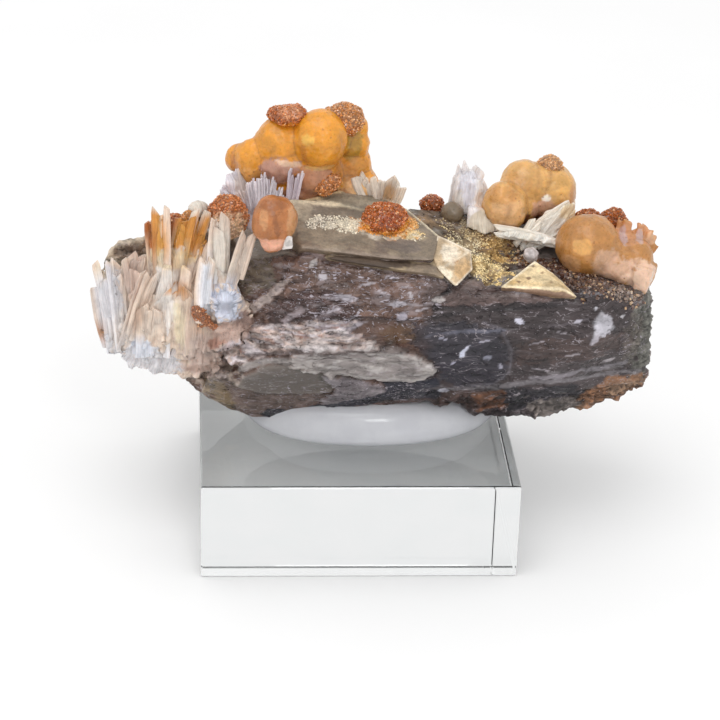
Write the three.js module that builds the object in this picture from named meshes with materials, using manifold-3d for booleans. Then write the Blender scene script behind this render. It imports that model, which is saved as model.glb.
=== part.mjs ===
// A hand-sized mineral specimen: smoky fluorite carrying smithsonite balls, white barite blades and
// sparkling brown druse, set with a pad of clear gel on a polished acrylic block.
// Millimetres, +Z up. The origin is the centre of the block's underside; -Y is the show side.
import * as THREE from "three";
import { ConvexGeometry } from "three/addons/geometries/ConvexGeometry.js";
import { TessellateModifier } from "three/addons/modifiers/TessellateModifier.js";
import { ImprovedNoise } from "three/addons/math/ImprovedNoise.js";
import { mergeVertices } from "three/addons/utils/BufferGeometryUtils.js";
import Module from "manifold-3d";

const wasm = await Module();
wasm.setup();

// Driving dimensions
const BLOCK_WIDTH = 50;
const BLOCK_DEPTH = 50;
const BLOCK_HEIGHT = 16;
const BLOCK_EDGE = 0.3; // width of the polished arris
const GEL_CENTRE_X = 2.5;
const GEL_HALF_WIDTH = 19.7;
const GEL_HALF_DEPTH = 11.5;
const GEL_HEIGHT = 6.6;
const GAP = 0.3; // clearance between neighbouring growths
const ROCK_EDGE = 10; // longest facet edge on broken rock
const WELD = 1e-3; // vertices closer than this are one

const SHOW_SIDE = new THREE.Vector3(0, -0.93, 0.37);

const COLOURS = {
  acrylic: { color: 0xe9ecec, roughness: 0.05, opacity: 0.4 },
  gel: { color: 0xe6e2dc, roughness: 0.15, opacity: 0.6 },
  fluorite: { color: 0x5a5156, roughness: 0.4 },
  barite: { color: 0xded2c4, roughness: 0.5 },
  smithsonite: { color: 0xd8913a, roughness: 0.35 },
  druse: { color: 0x9a4a1c, roughness: 0.3 },
  clear: { color: 0xcfc9c6, roughness: 0.15 },
};

const noise = new ImprovedNoise();
const vec = (p) => new THREE.Vector3(...p);

// Closed, welded geometry as a solid that can be joined and cut.
function solidOf(geometry) {
  geometry.deleteAttribute("normal");
  geometry.deleteAttribute("uv");
  const welded = mergeVertices(geometry, WELD);
  return new wasm.Manifold(
    new wasm.Mesh({
      numProp: 3,
      vertProperties: new Float32Array(welded.attributes.position.array),
      triVerts: new Uint32Array(welded.index.array),
    }),
  );
}

const join = (solids) => solids.reduce((all, next) => all.add(next));

const cut = (solid, tools) => tools.reduce((rest, tool) => rest.subtract(tool), solid);

// A cut can leave loose crumbs: the piece is its largest body.
function largest(solid) {
  return solid.decompose().reduce((best, body) => (body.volume() > best.volume() ? body : best));
}

// Moves each vertex along its own normal by what push(position) says.
function swell(geometry, push) {
  const skin = mergeVertices(geometry, WELD);
  skin.computeVertexNormals();
  const at = skin.attributes.position;
  const out = skin.attributes.normal;
  const point = new THREE.Vector3();
  const normal = new THREE.Vector3();
  for (let i = 0; i < at.count; i++) {
    point.fromBufferAttribute(at, i);
    normal.fromBufferAttribute(out, i);
    point.addScaledVector(normal, push(point));
    at.setXYZ(i, point.x, point.y, point.z);
  }
  return skin;
}

// Flat-faced crystal or slab through its corners.
function crystal(corners, grow = 0) {
  const shape = new ConvexGeometry(corners.map(vec));
  shape.deleteAttribute("normal");
  return solidOf(grow ? swell(shape, () => grow) : shape);
}

// Broken rock: a crystal whose faces are torn into ledges that run along X.
function rock({ corners, rough = 0.55, edge = ROCK_EDGE }, grow = 0) {
  const ACROSS = 0.09;
  const UP = 0.36;
  const shape = new ConvexGeometry(corners.map(vec));
  shape.deleteAttribute("normal");
  const torn = new TessellateModifier(edge, 14).modify(shape);
  const ledges = (p) =>
    noise.noise(p.x * ACROSS + 7, p.y * UP, p.z * UP + 3) +
    0.5 * noise.noise(p.x * ACROSS * 3, p.y * UP * 2, p.z * UP * 2);
  return solidOf(swell(torn, (p) => grow + rough * ledges(p)));
}

// Rounded smithsonite growth; radii may differ along X, Y and Z.
function ball([x, y, z, rx, ry = rx, rz = rx], grow = 0) {
  const LARGE = 3.8;
  const detail = Math.min(rx, ry, rz) > LARGE ? 2 : 1;
  const shape = new THREE.IcosahedronGeometry(1, detail);
  shape.scale(rx + grow, ry + grow, rz + grow);
  shape.translate(x, y, z);
  return solidOf(shape);
}

// Mound of small sparkling crystals: a ball whose skin is jagged.
function druse([x, y, z, rx, ry = rx, rz = rx], grow = 0) {
  const JAGGED = 0.1;
  const GRAIN = 9;
  const LARGE = 3.9;
  const shape = new THREE.IcosahedronGeometry(1, Math.max(rx, ry, rz) > LARGE ? 2 : 1);
  shape.deleteAttribute("normal");
  shape.deleteAttribute("uv");
  const jags = (p) => noise.noise(p.x * GRAIN + x, p.y * GRAIN + y, p.z * GRAIN + z);
  const rugged = swell(shape, (p) => JAGGED * jags(p));
  rugged.scale(rx + grow, ry + grow, rz + grow);
  rugged.translate(x, y, z);
  return solidOf(rugged);
}

// Tapering blade with a slanted chisel tip. roll turns its broad face away from the show side.
function blade({ base, tip, width, thick = 1, roll = 0 }, grow = 0) {
  const SHOULDER = 0.82;
  const foot = vec(base);
  const along = vec(tip).sub(foot);
  const facing = SHOW_SIDE.clone().applyAxisAngle(along.clone().normalize(), roll);
  const side = new THREE.Vector3().crossVectors(along, facing).normalize();
  facing.crossVectors(side, along).normalize();
  const half = width / 2 + grow;
  const deep = thick / 2 + grow;
  const point = (share, across, out) =>
    foot.clone().addScaledVector(along, share).addScaledVector(side, across).addScaledVector(facing, out);
  const corners = [];
  for (const out of [-deep, deep]) {
    corners.push(point(0, -half * 0.8, out), point(0, half * 0.8, out));
    corners.push(point(SHOULDER, -half, out), point(SHOULDER * 0.9, half, out));
  }
  corners.push(point(1, -half * 0.5, 0), point(0.95, half * 0.35, 0));
  return solidOf(new ConvexGeometry(corners));
}

// Fine four-sided spike from base to tip.
function needle([base, tip, radius], grow = 0) {
  const foot = vec(base);
  const along = vec(tip).sub(foot);
  const shape = new THREE.CylinderGeometry(radius * 0.25 + grow, radius + grow, along.length(), 4);
  shape.translate(0, along.length() / 2, 0);
  shape.applyQuaternion(
    new THREE.Quaternion().setFromUnitVectors(new THREE.Vector3(0, 1, 0), along.normalize()),
  );
  shape.translate(foot.x, foot.y, foot.z);
  return solidOf(shape);
}

function piece(name, solid, { color, roughness, opacity = 1 }) {
  const mesh = solid.getMesh();
  const geometry = new THREE.BufferGeometry();
  geometry.setAttribute("position", new THREE.BufferAttribute(mesh.vertProperties, 3));
  geometry.setIndex(new THREE.BufferAttribute(mesh.triVerts, 1));
  const material = new THREE.MeshStandardMaterial({
    color,
    roughness,
    opacity,
    metalness: 0,
    transparent: opacity < 1,
    flatShading: true,
  });
  const made = new THREE.Mesh(geometry, material);
  made.name = name;
  return made;
}

// Fluorite matrix

const SHOW_SLAB = {
  corners: [
    [10.5, -11, 43.5], [17, -12, 44.3], [24.5, -12.5, 44.6], [37.3, -11.5, 43.4], [45.6, -8, 40.9],
    [12, -13.5, 35], [25, -14, 36], [37.6, -13, 35.7], [46.5, -8, 33.4],
    [11.5, -10, 23.7], [19.5, -10.5, 23.6], [32, -10.5, 25.2], [46.5, -7, 26.1],
    [47, 4, 41], [47, 6, 27.5], [43, 11, 42], [30, 14, 44], [12, 14, 45],
    [42, 8, 24], [25, 12, 22], [10, 12, 22],
  ],
};
const UNDER_LEDGE = {
  corners: [
    [14.8, -9, 22.8], [20, -8, 20.3], [23.3, -7, 18.9], [29, -6, 18.9], [37, -6, 20.9], [46.4, -5, 23.7],
    [14, -9.5, 25.5], [46, -7, 27], [44, 8, 28], [12, 10, 27],
    [45, 5, 24.5], [36, 8, 20.8], [24, 9, 19.2], [14, 8, 20],
  ],
  rough: 0.7,
  edge: 7,
};
const MIDDLE = {
  corners: [
    [-8.8, -9.5, 49], [5.8, -10.3, 47.6], [10.6, -10.3, 47.3], [-18.4, -5.5, 46.2], [-19.6, -8.6, 41],
    [-23.2, -8.6, 32.4], [-18, -11.6, 29.6], [-5, -14, 37.8], [-1.8, -14.5, 35.5], [9.2, -14, 34.4],
    [11, -12.5, 30.2], [-20, 8, 46.2], [-22, 12, 30], [12, 13, 46.5], [12, 15, 30], [-8, 6, 49],
  ],
};
const BRIDGE = {
  corners: [
    [5, -13.2, 45.3], [15.5, -12.4, 43.8], [6, -14.2, 36], [16, -13.8, 35.3], [3, -8.4, 21.9], [8, -9.4, 22.9],
    [15, -9.4, 23.2], [10, -12.6, 28.5], [5, 2, 44], [17, 2, 42], [5, 6, 21], [16, 6, 21],
  ],
  edge: 14,
};
// The same rock showing as a low grey wall behind the barite fan
const LEFT_WING = {
  corners: [
    [-41.2, 1, 41.6], [-40.6, 1.2, 42.8], [-39.4, 1.4, 44.4], [-37.6, 1.6, 45.8], [-33, 2, 46.8], [-24, 4, 47],
    [-19, 4, 46], [-39, 1.4, 36], [-32, 2.4, 30.5], [-22, 3, 26], [-37.5, 6.5, 42], [-29, 10, 43],
    [-20, 12, 44], [-35, 7, 36], [-27, 10, 30], [-20, 12, 27],
  ],
  rough: 0.7,
};
const KEEL = {
  corners: [
    [-25, -6, 23.3], [-20.2, -6, 19.9], [-17, -6.5, 18.8], [-10.6, -7, 18.7], [-1.1, -8, 20.9],
    [6.7, -10, 24.3], [11, -12.5, 30.2], [-4.9, -13.8, 32.3], [-15.7, -12.3, 30.5], [-23.5, -9, 27],
    [-22, 6, 24], [-15, 9, 19.2], [0, 10, 18.8], [12, 10, 21.5], [12, 12, 31], [-23, 10, 31],
  ],
  rough: 0.35,
};
const BACK_MASS = {
  corners: [
    [-20, 9, 45], [-13, 12, 48.5], [1, 13, 47.6], [14, 12, 46.4], [9, 18, 42], [-11, 19, 41],
    [-21, 15, 34], [-9, 17, 25], [12, 17, 25], [27, 16, 41.5], [26, 16, 27], [30, 12, 44.5],
  ],
  rough: 0.8,
};
const RIGHT_SHOULDER = {
  corners: [
    [19, 2, 47.6], [24, 0.5, 46.2], [36, 5, 46], [38.5, 12, 44.5], [28, 14, 46.6], [20, 11, 47],
    [17, 0, 42], [38, 4, 41], [38, 13, 40], [18, 13, 42],
  ],
};
const DARK_RIDGE = {
  corners: [
    [7.9, 5, 50.6], [15.3, 6, 49.6], [17.8, -3, 46.2], [22.9, 4, 47.6], [18.6, -10, 44.8],
    [8, 9, 44], [25, 8, 43], [11, -8, 43],
  ],
  rough: 0.4,
};
// Cleavage plates and crystals keep flat faces and sharp edges.
const ROOF_PLATE = [
  [-9.4, -9.8, 50], [5.8, -10.8, 48.5], [10.9, -10.5, 48.3], [-10.9, 0, 54], [0.2, 0.3, 52.3],
  [7.5, 2, 51.7], [12.3, -5, 49.9], [-13, -4, 50.5], [-10, -7, 46.5], [10, -7, 45.5], [8, 5, 46], [-12, 4, 48],
];
const STEP_PLATE = [
  [-5, -10.4, 48.6], [5.8, -11.9, 47.2], [10.9, -12.4, 46.7], [14.6, -12.4, 44.7], [13, -8, 48.2],
  [-3, -6, 48], [2, -13.2, 42], [13, -12.6, 42], [12, -5, 43], [-4, -5, 43],
];
const RIDGE_PLATE = [
  [-9, 1, 53.3], [0.2, -0.2, 52.6], [0.4, 4.6, 53.9], [5.8, 3, 52.2], [7.5, 5.4, 50.4], [-8, 7, 51],
  [-8, 1, 48], [6, 1, 47], [5, 8, 47], [-7, 8, 47],
];
const BEIGE_TIP = [
  [12.1, -5, 50.1], [17.3, -6, 47.9], [17.4, -8, 45.6], [14.5, -12.3, 44.6], [11.9, -11.4, 47],
  [10.9, -9, 48.2], [11, -4, 43], [17, -4, 43],
];
const BEIGE_WEDGE = [
  [27.3, -6, 46.2], [19, -12.4, 44.7], [34, -12.2, 43.1], [31.3, -8, 45.4], [22, -7.5, 45.4],
  [19, -10, 41], [34, -10, 41], [28, -3, 42],
];
const BOTTOM_CHIP = [
  [-27.8, -4.6, 25], [-20, -5.6, 19.4], [-26, -3.5, 22.8], [-21, 1, 20.6], [-25, 2, 27], [-20, -3, 27],
];

const ROCKS = [
  SHOW_SLAB, UNDER_LEDGE, BRIDGE, MIDDLE, KEEL, LEFT_WING, BACK_MASS, RIGHT_SHOULDER, DARK_RIDGE,
];
const PLATES = [ROOF_PLATE, STEP_PLATE, RIDGE_PLATE, BEIGE_TIP, BEIGE_WEDGE, BOTTOM_CHIP];

const matrixOf = (grow) =>
  join([...ROCKS.map((shape) => rock(shape, grow)), ...PLATES.map((corners) => crystal(corners, grow))]);
const matrix = largest(matrixOf(0));
const aroundMatrix = matrixOf(GAP + 0.05);

// Barite: a fan of blades on the left, and blades at the right

const FAN_ROOT = {
  corners: [
    [-38.2, -5, 29.6], [-37, -4, 27.6], [-33, -6, 26.6], [-27, -7.5, 26.2], [-22.2, -10.6, 29.2],
    [-22.5, -11.2, 37], [-40, -3.6, 36], [-33, -7.6, 39], [-26, -10.2, 41], [-37, -2, 43.6], [-34, 0, 45],
    [-25, -2, 46], [-36, 4, 36], [-24, 6, 28], [-32, 3, 28], [-21, 4, 33], [-21, -4, 45],
  ],
  rough: 0.4,
  edge: 16,
};
// White crust that carries the fan round onto the show side of the fluorite
const FAN_SHEET = {
  corners: [
    [-25, -11.4, 31.5], [-19, -12.6, 34], [-16.8, -12.2, 38.5], [-19.2, -10.6, 43.8], [-22.8, -9.4, 47],
    [-25, -7, 33], [-17.5, -9, 37.5], [-19.5, -7.5, 44.5], [-25, -5, 46],
  ],
  rough: 0.3,
  edge: 16,
};
const FAN_BLADES = [
  { base: [-38, -5.2, 30], tip: [-40.6, -3, 44.2], width: 3.2, thick: 1.6, roll: -0.4 },
  { base: [-39, -3.4, 31], tip: [-41.4, -2, 40.2], width: 2, thick: 1.8, roll: -0.8 },
  { base: [-36.6, -6.4, 31.6], tip: [-38.2, -3.8, 44.9], width: 2.4, thick: 1.2, roll: 0.4 },
  { base: [-35.8, -6, 33], tip: [-35, -2.6, 45.6], width: 2.8, thick: 1.4, roll: -0.3 },
  { base: [-37, -7.4, 31], tip: [-33, -6.6, 44], width: 1.9, thick: 1.1, roll: 0.5 },
  { base: [-34.4, -7.2, 31.2], tip: [-33, -3.6, 45], width: 2.6, thick: 1.3, roll: -0.2 },
  { base: [-31.9, -8.2, 31], tip: [-32.6, -3.5, 52.3], width: 1.9, thick: 1.4, roll: 0.3 },
  { base: [-31, -8.8, 31.4], tip: [-31.2, -4.5, 53.9], width: 1.8, thick: 1.3, roll: -0.4 },
  { base: [-30.4, -8.7, 33], tip: [-27.4, -4.6, 52.6], width: 2.8, thick: 1.5, roll: 0.35 },
  { base: [-29.8, -8, 33], tip: [-24.9, -2.6, 53], width: 2, thick: 1.8, roll: -0.3 },
  { base: [-30, -8.5, 32], tip: [-23.6, -4.5, 49.8], width: 2.8, thick: 1.5, roll: 0.6 },
  { base: [-28.2, -9.3, 31.5], tip: [-21.9, -6.3, 50], width: 2.6, thick: 1.6, roll: -0.25 },
  { base: [-22.6, -10.6, 38], tip: [-22.2, -6, 54], width: 2.2, thick: 1.4, roll: 0.2 },
  { base: [-24.8, -11.1, 37], tip: [-24, -9, 47.8], width: 1.5, thick: 1.2, roll: -0.3 },
  { base: [-20.8, -11.2, 40], tip: [-17.6, -8, 51.8], width: 1.5, thick: 1.3, roll: 0.2 },
  { base: [-26.6, -9.8, 31], tip: [-25.8, -8.8, 43], width: 2.4, thick: 1.5, roll: 0.1 },
  { base: [-33.5, -7.6, 30], tip: [-33, -8, 39], width: 2.4, thick: 1.2, roll: -0.1 },
];
const BLUISH_LUMP = [-21.2, -11.2, 41.6, 2.1, 1.7, 3.1];
const RIGHT_BLADES = [
  { base: [15.6, 7, 47.4], tip: [17, 7.8, 56], width: 2.4, thick: 2.2, roll: 0.4 },
  { base: [17, 6.6, 47], tip: [18.6, 7.6, 56.4], width: 2.4, thick: 2.4, roll: -0.3 },
  { base: [18.6, 6.2, 47], tip: [19.9, 7, 54.9], width: 1.9, thick: 2, roll: 0.5 },
  { base: [20, 5.4, 46.8], tip: [21, 6.2, 52.8], width: 1.7, thick: 1.6, roll: -0.2 },
];
const CLOUDY_CRYSTAL = [
  [17.2, 2, 47.6], [17.4, 3, 51.3], [19.4, 3, 51.5], [22, 3, 50.9], [22.6, 2, 47.9], [20, 0.8, 47.6],
  [18, 5.6, 50.9], [21.8, 5.6, 50], [20, 5, 46],
];
const ROOF_FRAGMENT = [
  [1.6, 2.6, 50], [5.4, 2.8, 50], [5.6, 3.1, 54.2], [4.8, 3.2, 55.8], [2.7, 3, 54.9], [1, 2.8, 55.6],
  [5.4, 4.4, 50], [1.6, 4.2, 50], [3.4, 4.4, 54.4],
];
const RIGHT_PLATES = [
  { base: [25.6, 1, 45.6], tip: [35, 3, 51.9], width: 2.6, thick: 1.1, roll: 0.2 },
  { base: [27.6, 1.2, 45.6], tip: [32.6, 2.6, 49.2], width: 2.4, thick: 1, roll: -0.2 },
  { base: [32.4, 0.2, 46.5], tip: [21.8, 0.4, 48.4], width: 1.2, thick: 2, roll: 0.1 },
];

const bladesOf = (list, grow = 0) => list.map((shape) => blade(shape, grow));

// Smithsonite balls, each [x, y, z, radius along X, Y and Z]

const PEAK_BALLS = [
  [-12.6, 5, 61.7, 3.5, 3.6, 3.6], [-6.3, 3.5, 62.8, 3.9, 3.9, 4.4], [-12.2, 4.2, 58.6, 3.3],
  [-19.1, 6, 58.5, 1.8], [-17.1, 4.2, 58.7, 2.1, 2.2, 3.3], [-1.1, 7, 57.6, 2.8], [-0.8, 6, 61.2, 2],
  [-0.9, 6, 64, 1.8],
  [-7.2, 5, 56.6, 4, 4, 3.2], [-0.4, 6.2, 53.4, 3.7, 3.4, 3.3], [-9.5, 9.5, 60.5, 3.8], [-3.5, 10, 58, 3.6],
  [-14.5, 10.5, 56.5, 3.4], [-7.5, 12.5, 54.5, 3.4], [-10, 6.5, 53.5, 5, 5, 3.8],
];
const FRONT_BUD = [
  [-14.2, -9, 54.2, 2.9, 3, 3.9], [-13.2, -8.7, 54, 2.9, 3, 3.7], [-14, -9.9, 50.9, 1.8, 1.5, 1.5],
];
const RIGHT_BALLS = [
  [22.9, 4, 51.5, 2.6, 2.8, 3.6], [24.6, 4, 51, 2.4, 2.7, 3.5], [31.4, 9, 51.9, 4, 4, 4.3],
  [26.8, 8, 53.8, 3.3, 3.2, 3.3], [26, 7.5, 50.5, 3.4, 3.4, 3.2], [32, 11, 48.5, 3.6],
];
const FAR_BALLS = [
  [36.4, -2, 47.2, 4.7, 4.4, 4.6], [36.2, -2.4, 43.6, 2.9, 2.4, 2.4], [40.4, -3, 44.9, 3.4, 3.1, 2.9],
  [42.4, -3.6, 43.4, 3, 2.6, 2.4], [44, -2.6, 45.4, 2.6, 2.4, 2.2], [41.9, 0, 48, 1.7, 1.7, 3],
  [44.6, 0, 47.6, 2, 1.7, 2.8], [46.6, 0, 48, 1.4, 1.3, 1.4],
];
const FAR_BLOCK = [
  [43, -7, 45.3], [46.3, -6.6, 45], [47.6, -3.4, 44.6], [45.2, -7.4, 40.9], [46.8, -3, 41], [43.2, -1, 45.6],
  [43, -1.5, 41], [43.4, -7, 41.3],
];
const GREY_BUD = [15.2, 4.6, 49.8, 1.8, 1.6, 1.5];

const ballsOf = (list, grow = 0) => list.map((shape) => ball(shape, grow));

// Brown druse, as jagged caps on what they grew over

const PEAK_CAP_LEFT = [-11.2, 4.6, 65.6, 3.6, 3.2, 2.6];
const PEAK_CAP_RIGHT = [-2.3, 5.6, 65.4, 3.1, 2.9, 3.1];
const PEAK_TUFT = [-5.8, 1.4, 55.6, 2.2, 1.6, 2];
const ROOF_MOUND = [3.8, -3, 51.9, 4, 3.4, 2.9];
const LEFT_DOME = [-20.8, -1.4, 51.6, 3.4, 3.2, 3.8];
const LEFT_TUFT = [-25.2, -11, 38.4, 1.4, 1.1, 2];
const ORANGE_TUFT = [
  [-31.9, -2.2, 49.6, 1.8, 1.6, 2.4], [-29.2, -1.9, 50.3, 2.1, 1.7, 2.4], [-26.4, -1.3, 50.6, 2.2, 1.7, 2.5],
];
const RIGHT_KNOB = [31.1, 9, 56.3, 2.4, 2.1, 2.1];
const FAR_ARC = [[37.2, 4, 47.6, 3, 2.2, 3.2], [41, 3.6, 48.6, 2.4, 1.8, 2.6]];
const BACK_TUFT = [12.3, 8, 49.8, 2, 1.8, 1.7];

// Lilac-white needle comb at the foot of the peak

const NEEDLES = [
  [[-17.3, 0.3, 51.5], [-18.6, 0, 56], 0.5], [[-16.7, 0.3, 51.5], [-17, 0.4, 57.4], 0.55],
  [[-16, 0.2, 51.5], [-16.1, 0.4, 57.2], 0.5], [[-15.4, 0.3, 51.5], [-15.5, 0.7, 59], 0.55],
  [[-14.8, 0.2, 51.5], [-14.8, 0.5, 58], 0.5], [[-14.1, 0.4, 51.5], [-13.4, 0.6, 57.2], 0.5],
  [[-13.2, 0.4, 51.5], [-12.5, 0.6, 56], 0.45], [[-11.3, 0.4, 51.5], [-10.8, 0.6, 59.2], 0.6],
  [[-10.6, 0.5, 51.5], [-9.4, 0.6, 58.9], 0.5],
];
const FLARE_BLADES = [
  { base: [-17.4, 2, 50.5], tip: [-21.8, 4, 54.4], width: 2.2, thick: 1.6, roll: 0.2 },
  { base: [-17.6, 2, 50.6], tip: [-20.7, 4, 57], width: 2.2, thick: 1.8, roll: -0.2 },
];
const COMB_ROOT = [
  [-18.8, -0.4, 50.6], [-9.4, -0.4, 51], [-9.6, 0.9, 53.4], [-18.6, 0.9, 53.2], [-17, -1, 48.5],
  [-10, -1, 48.5], [-17.5, 2.5, 48.5], [-10, 2.5, 48.5],
];

const SMALL_CUBE_EDGE = 2.3;
const SMALL_CUBE_AT = [27, -4.6, 46.6];
const WHITE_CHIP = [
  [-12.6, -11.3, 50.2], [-10.9, -11.2, 50.3], [-11, -11, 52.3], [-12, -11.2, 52.6], [-12.4, -10.2, 50.4],
  [-11.2, -10.2, 51.8],
];

// Gel pad: a low round pad, stretched to an oval, with the specimen pressed into its top
function gelPad() {
  const profile = [[0, 0], [1, 0], [1.03, 0.2], [1, 0.55], [0.85, 0.9], [0.5, 1], [0, 1]];
  const pad = new THREE.LatheGeometry(profile.map(([out, up]) => new THREE.Vector2(out, up)), 24);
  pad.rotateX(Math.PI / 2);
  pad.scale(GEL_HALF_WIDTH, GEL_HALF_DEPTH, GEL_HEIGHT);
  pad.translate(GEL_CENTRE_X, 0, BLOCK_HEIGHT);
  return solidOf(pad);
}

// Acrylic block with a fine arris on its upright and top edges
function acrylicBlock() {
  const corners = [];
  for (const x of [-1, 1])
    for (const y of [-1, 1]) {
      const full = [(x * BLOCK_WIDTH) / 2, (y * BLOCK_DEPTH) / 2];
      const inX = full[0] - x * BLOCK_EDGE;
      const inY = full[1] - y * BLOCK_EDGE;
      const shoulder = BLOCK_HEIGHT - BLOCK_EDGE;
      corners.push([inX, full[1], 0], [full[0], inY, 0]);
      corners.push([inX, full[1], shoulder], [full[0], inY, shoulder], [inX, inY, BLOCK_HEIGHT]);
    }
  return crystal(corners);
}

function smallCube() {
  const cube = new THREE.BoxGeometry(SMALL_CUBE_EDGE, SMALL_CUBE_EDGE, SMALL_CUBE_EDGE);
  cube.rotateX(0.5);
  cube.rotateZ(0.6);
  cube.translate(...SMALL_CUBE_AT);
  return solidOf(cube);
}

const fanOf = (grow = 0) =>
  join([rock(FAN_ROOT, grow), rock(FAN_SHEET, grow), ...bladesOf(FAN_BLADES, grow), ball(BLUISH_LUMP, grow)]);
const needlesOf = (grow) => NEEDLES.map((spike) => needle(spike, grow));
const combOf = (grow = 0) =>
  join([crystal(COMB_ROOT, grow), ...needlesOf(grow), ...bladesOf(FLARE_BLADES, grow)]);
const rightBladesOf = (grow = 0) => join([...bladesOf(RIGHT_BLADES, grow), crystal(CLOUDY_CRYSTAL, grow)]);
const farOf = (grow = 0) => join([...ballsOf(FAR_BALLS, grow), crystal(FAR_BLOCK, grow)]);
const peakOf = (grow = 0) => join(ballsOf(PEAK_BALLS, grow));
const rightOf = (grow = 0) => join(ballsOf(RIGHT_BALLS, grow));

// Each growth is trimmed where it meets what it grew on, with the clearance between them.
const fan = cut(fanOf(), [aroundMatrix]);
const aroundFan = fanOf(GAP);
const peak = cut(peakOf(), [aroundMatrix]);
const aroundPeak = peakOf(GAP + 0.1);
const comb = cut(combOf(), [aroundMatrix, aroundPeak, aroundFan]);
const aroundComb = combOf(GAP);
const right = cut(rightOf(), [aroundMatrix]);
const aroundRight = rightOf(GAP + 0.1);
const far = cut(farOf(), [aroundMatrix]);
const aroundFar = farOf(GAP + 0.1);
const rightBlades = cut(rightBladesOf(), [aroundMatrix, aroundRight]);
const rightPlates = cut(join(bladesOf(RIGHT_PLATES)), [aroundMatrix, aroundRight, aroundFar]);
const aroundRightBlades = join([rightBladesOf(GAP), ...bladesOf(RIGHT_PLATES, GAP)]);
const frontBud = cut(join(ballsOf(FRONT_BUD)), [aroundMatrix, aroundFan]);
const aroundFrontBud = join(ballsOf(FRONT_BUD, GAP + 0.1));
const orangeTuft = cut(join(ORANGE_TUFT.map((shape) => druse(shape))), [aroundMatrix, aroundFan]);
const farArc = cut(join(FAR_ARC.map((shape) => druse(shape))), [aroundFar, aroundMatrix, aroundRightBlades]);

const GROWTHS = [
  ["fluorite_matrix", matrix, COLOURS.fluorite],
  ["barite_blade_fan", fan, COLOURS.barite],
  ["barite_blades_right", rightBlades, COLOURS.barite],
  ["barite_plates_right", rightPlates, COLOURS.barite],
  ["barite_roof_fragment", cut(crystal(ROOF_FRAGMENT), [aroundMatrix, aroundPeak]), COLOURS.barite],
  ["needle_comb", comb, COLOURS.barite],
  ["smithsonite_peak", peak, COLOURS.smithsonite],
  ["smithsonite_right", right, COLOURS.smithsonite],
  ["smithsonite_far_right", far, COLOURS.smithsonite],
  ["smithsonite_front_bud", frontBud, COLOURS.smithsonite],
  ["smithsonite_grey_bud", cut(ball(GREY_BUD), [aroundMatrix, aroundRightBlades]), COLOURS.smithsonite],
  ["druse_peak_left", cut(druse(PEAK_CAP_LEFT), [aroundPeak]), COLOURS.druse],
  ["druse_peak_right", cut(druse(PEAK_CAP_RIGHT), [aroundPeak]), COLOURS.druse],
  ["druse_peak_tuft", cut(druse(PEAK_TUFT), [aroundPeak, aroundMatrix]), COLOURS.druse],
  ["druse_roof_mound", cut(druse(ROOF_MOUND), [aroundMatrix]), COLOURS.druse],
  ["druse_left_dome", cut(druse(LEFT_DOME), [aroundMatrix, aroundFan, aroundComb]), COLOURS.druse],
  ["druse_left_tuft", cut(druse(LEFT_TUFT), [aroundMatrix, aroundFan]), COLOURS.druse],
  ["druse_orange_tuft", orangeTuft, COLOURS.druse],
  ["druse_right_knob", cut(druse(RIGHT_KNOB), [aroundRight]), COLOURS.druse],
  ["druse_far_arc", farArc, COLOURS.druse],
  ["druse_back_tuft", cut(druse(BACK_TUFT), [aroundMatrix, aroundRightBlades]), COLOURS.druse],
  ["fluorite_small_cube", cut(smallCube(), [aroundMatrix]), COLOURS.clear],
  ["white_chip", cut(crystal(WHITE_CHIP), [aroundMatrix, aroundFrontBud]), COLOURS.clear],
  ["mounting_gel", cut(gelPad(), [aroundMatrix]), COLOURS.gel],
];

const specimen = new THREE.Group();
for (const [name, solid, finish] of GROWTHS) specimen.add(piece(name, largest(solid), finish));
specimen.add(piece("acrylic_block", acrylicBlock(), COLOURS.acrylic));

export default specimen;
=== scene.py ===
# A hand-sized mineral specimen on a clear display block: smoky fluorite that carries waxy smithsonite balls,
# white barite blades and sparkling brown druse. Shapes are made in millimetres, with +Z up and the show side
# towards -Y, and become metres when a piece is finished.
import math
from collections import namedtuple

import bmesh
import bpy
import numpy as np
from mathutils import Matrix, Vector, noise


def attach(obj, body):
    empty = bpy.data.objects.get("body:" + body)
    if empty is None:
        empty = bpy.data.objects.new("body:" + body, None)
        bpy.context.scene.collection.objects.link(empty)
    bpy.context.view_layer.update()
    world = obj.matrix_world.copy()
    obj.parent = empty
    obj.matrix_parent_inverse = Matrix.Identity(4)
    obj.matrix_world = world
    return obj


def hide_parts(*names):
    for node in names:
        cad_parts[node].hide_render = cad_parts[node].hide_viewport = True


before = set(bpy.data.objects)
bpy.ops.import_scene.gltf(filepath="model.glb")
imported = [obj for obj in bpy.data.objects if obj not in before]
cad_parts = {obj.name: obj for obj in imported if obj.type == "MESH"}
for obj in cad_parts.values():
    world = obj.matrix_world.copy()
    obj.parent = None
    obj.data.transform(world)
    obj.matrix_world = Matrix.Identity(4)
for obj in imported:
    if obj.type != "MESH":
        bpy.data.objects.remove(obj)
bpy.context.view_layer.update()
MM = 0.001

# Camera, where the photograph was taken from: metres and degrees
CAMERA_AT = (-0.02907, -0.40885, 0.22383)
CAMERA_YAW, CAMERA_PITCH, CAMERA_ROLL = 4.187, 25.775, 1.916
CAMERA_LENS = 140.53

# Driving sizes, in millimetres
BLOCK_WIDTH, BLOCK_DEPTH, BLOCK_HEIGHT, BLOCK_EDGE = 50, 50, 16, 0.3
GEL_CENTRE_X, GEL_HALF_WIDTH, GEL_HALF_DEPTH, GEL_HEIGHT = 2.5, 19.7, 11.5, 6.6
ROCK_VOXEL = 0.54
BALL_VOXEL = 0.24
BLADE_VOXEL = 0.32
DRUSE_VOXEL = 0.3
# The way the show side faces
SHOW_SIDE = Vector((0, -0.93, 0.37))


# Shapes

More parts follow.
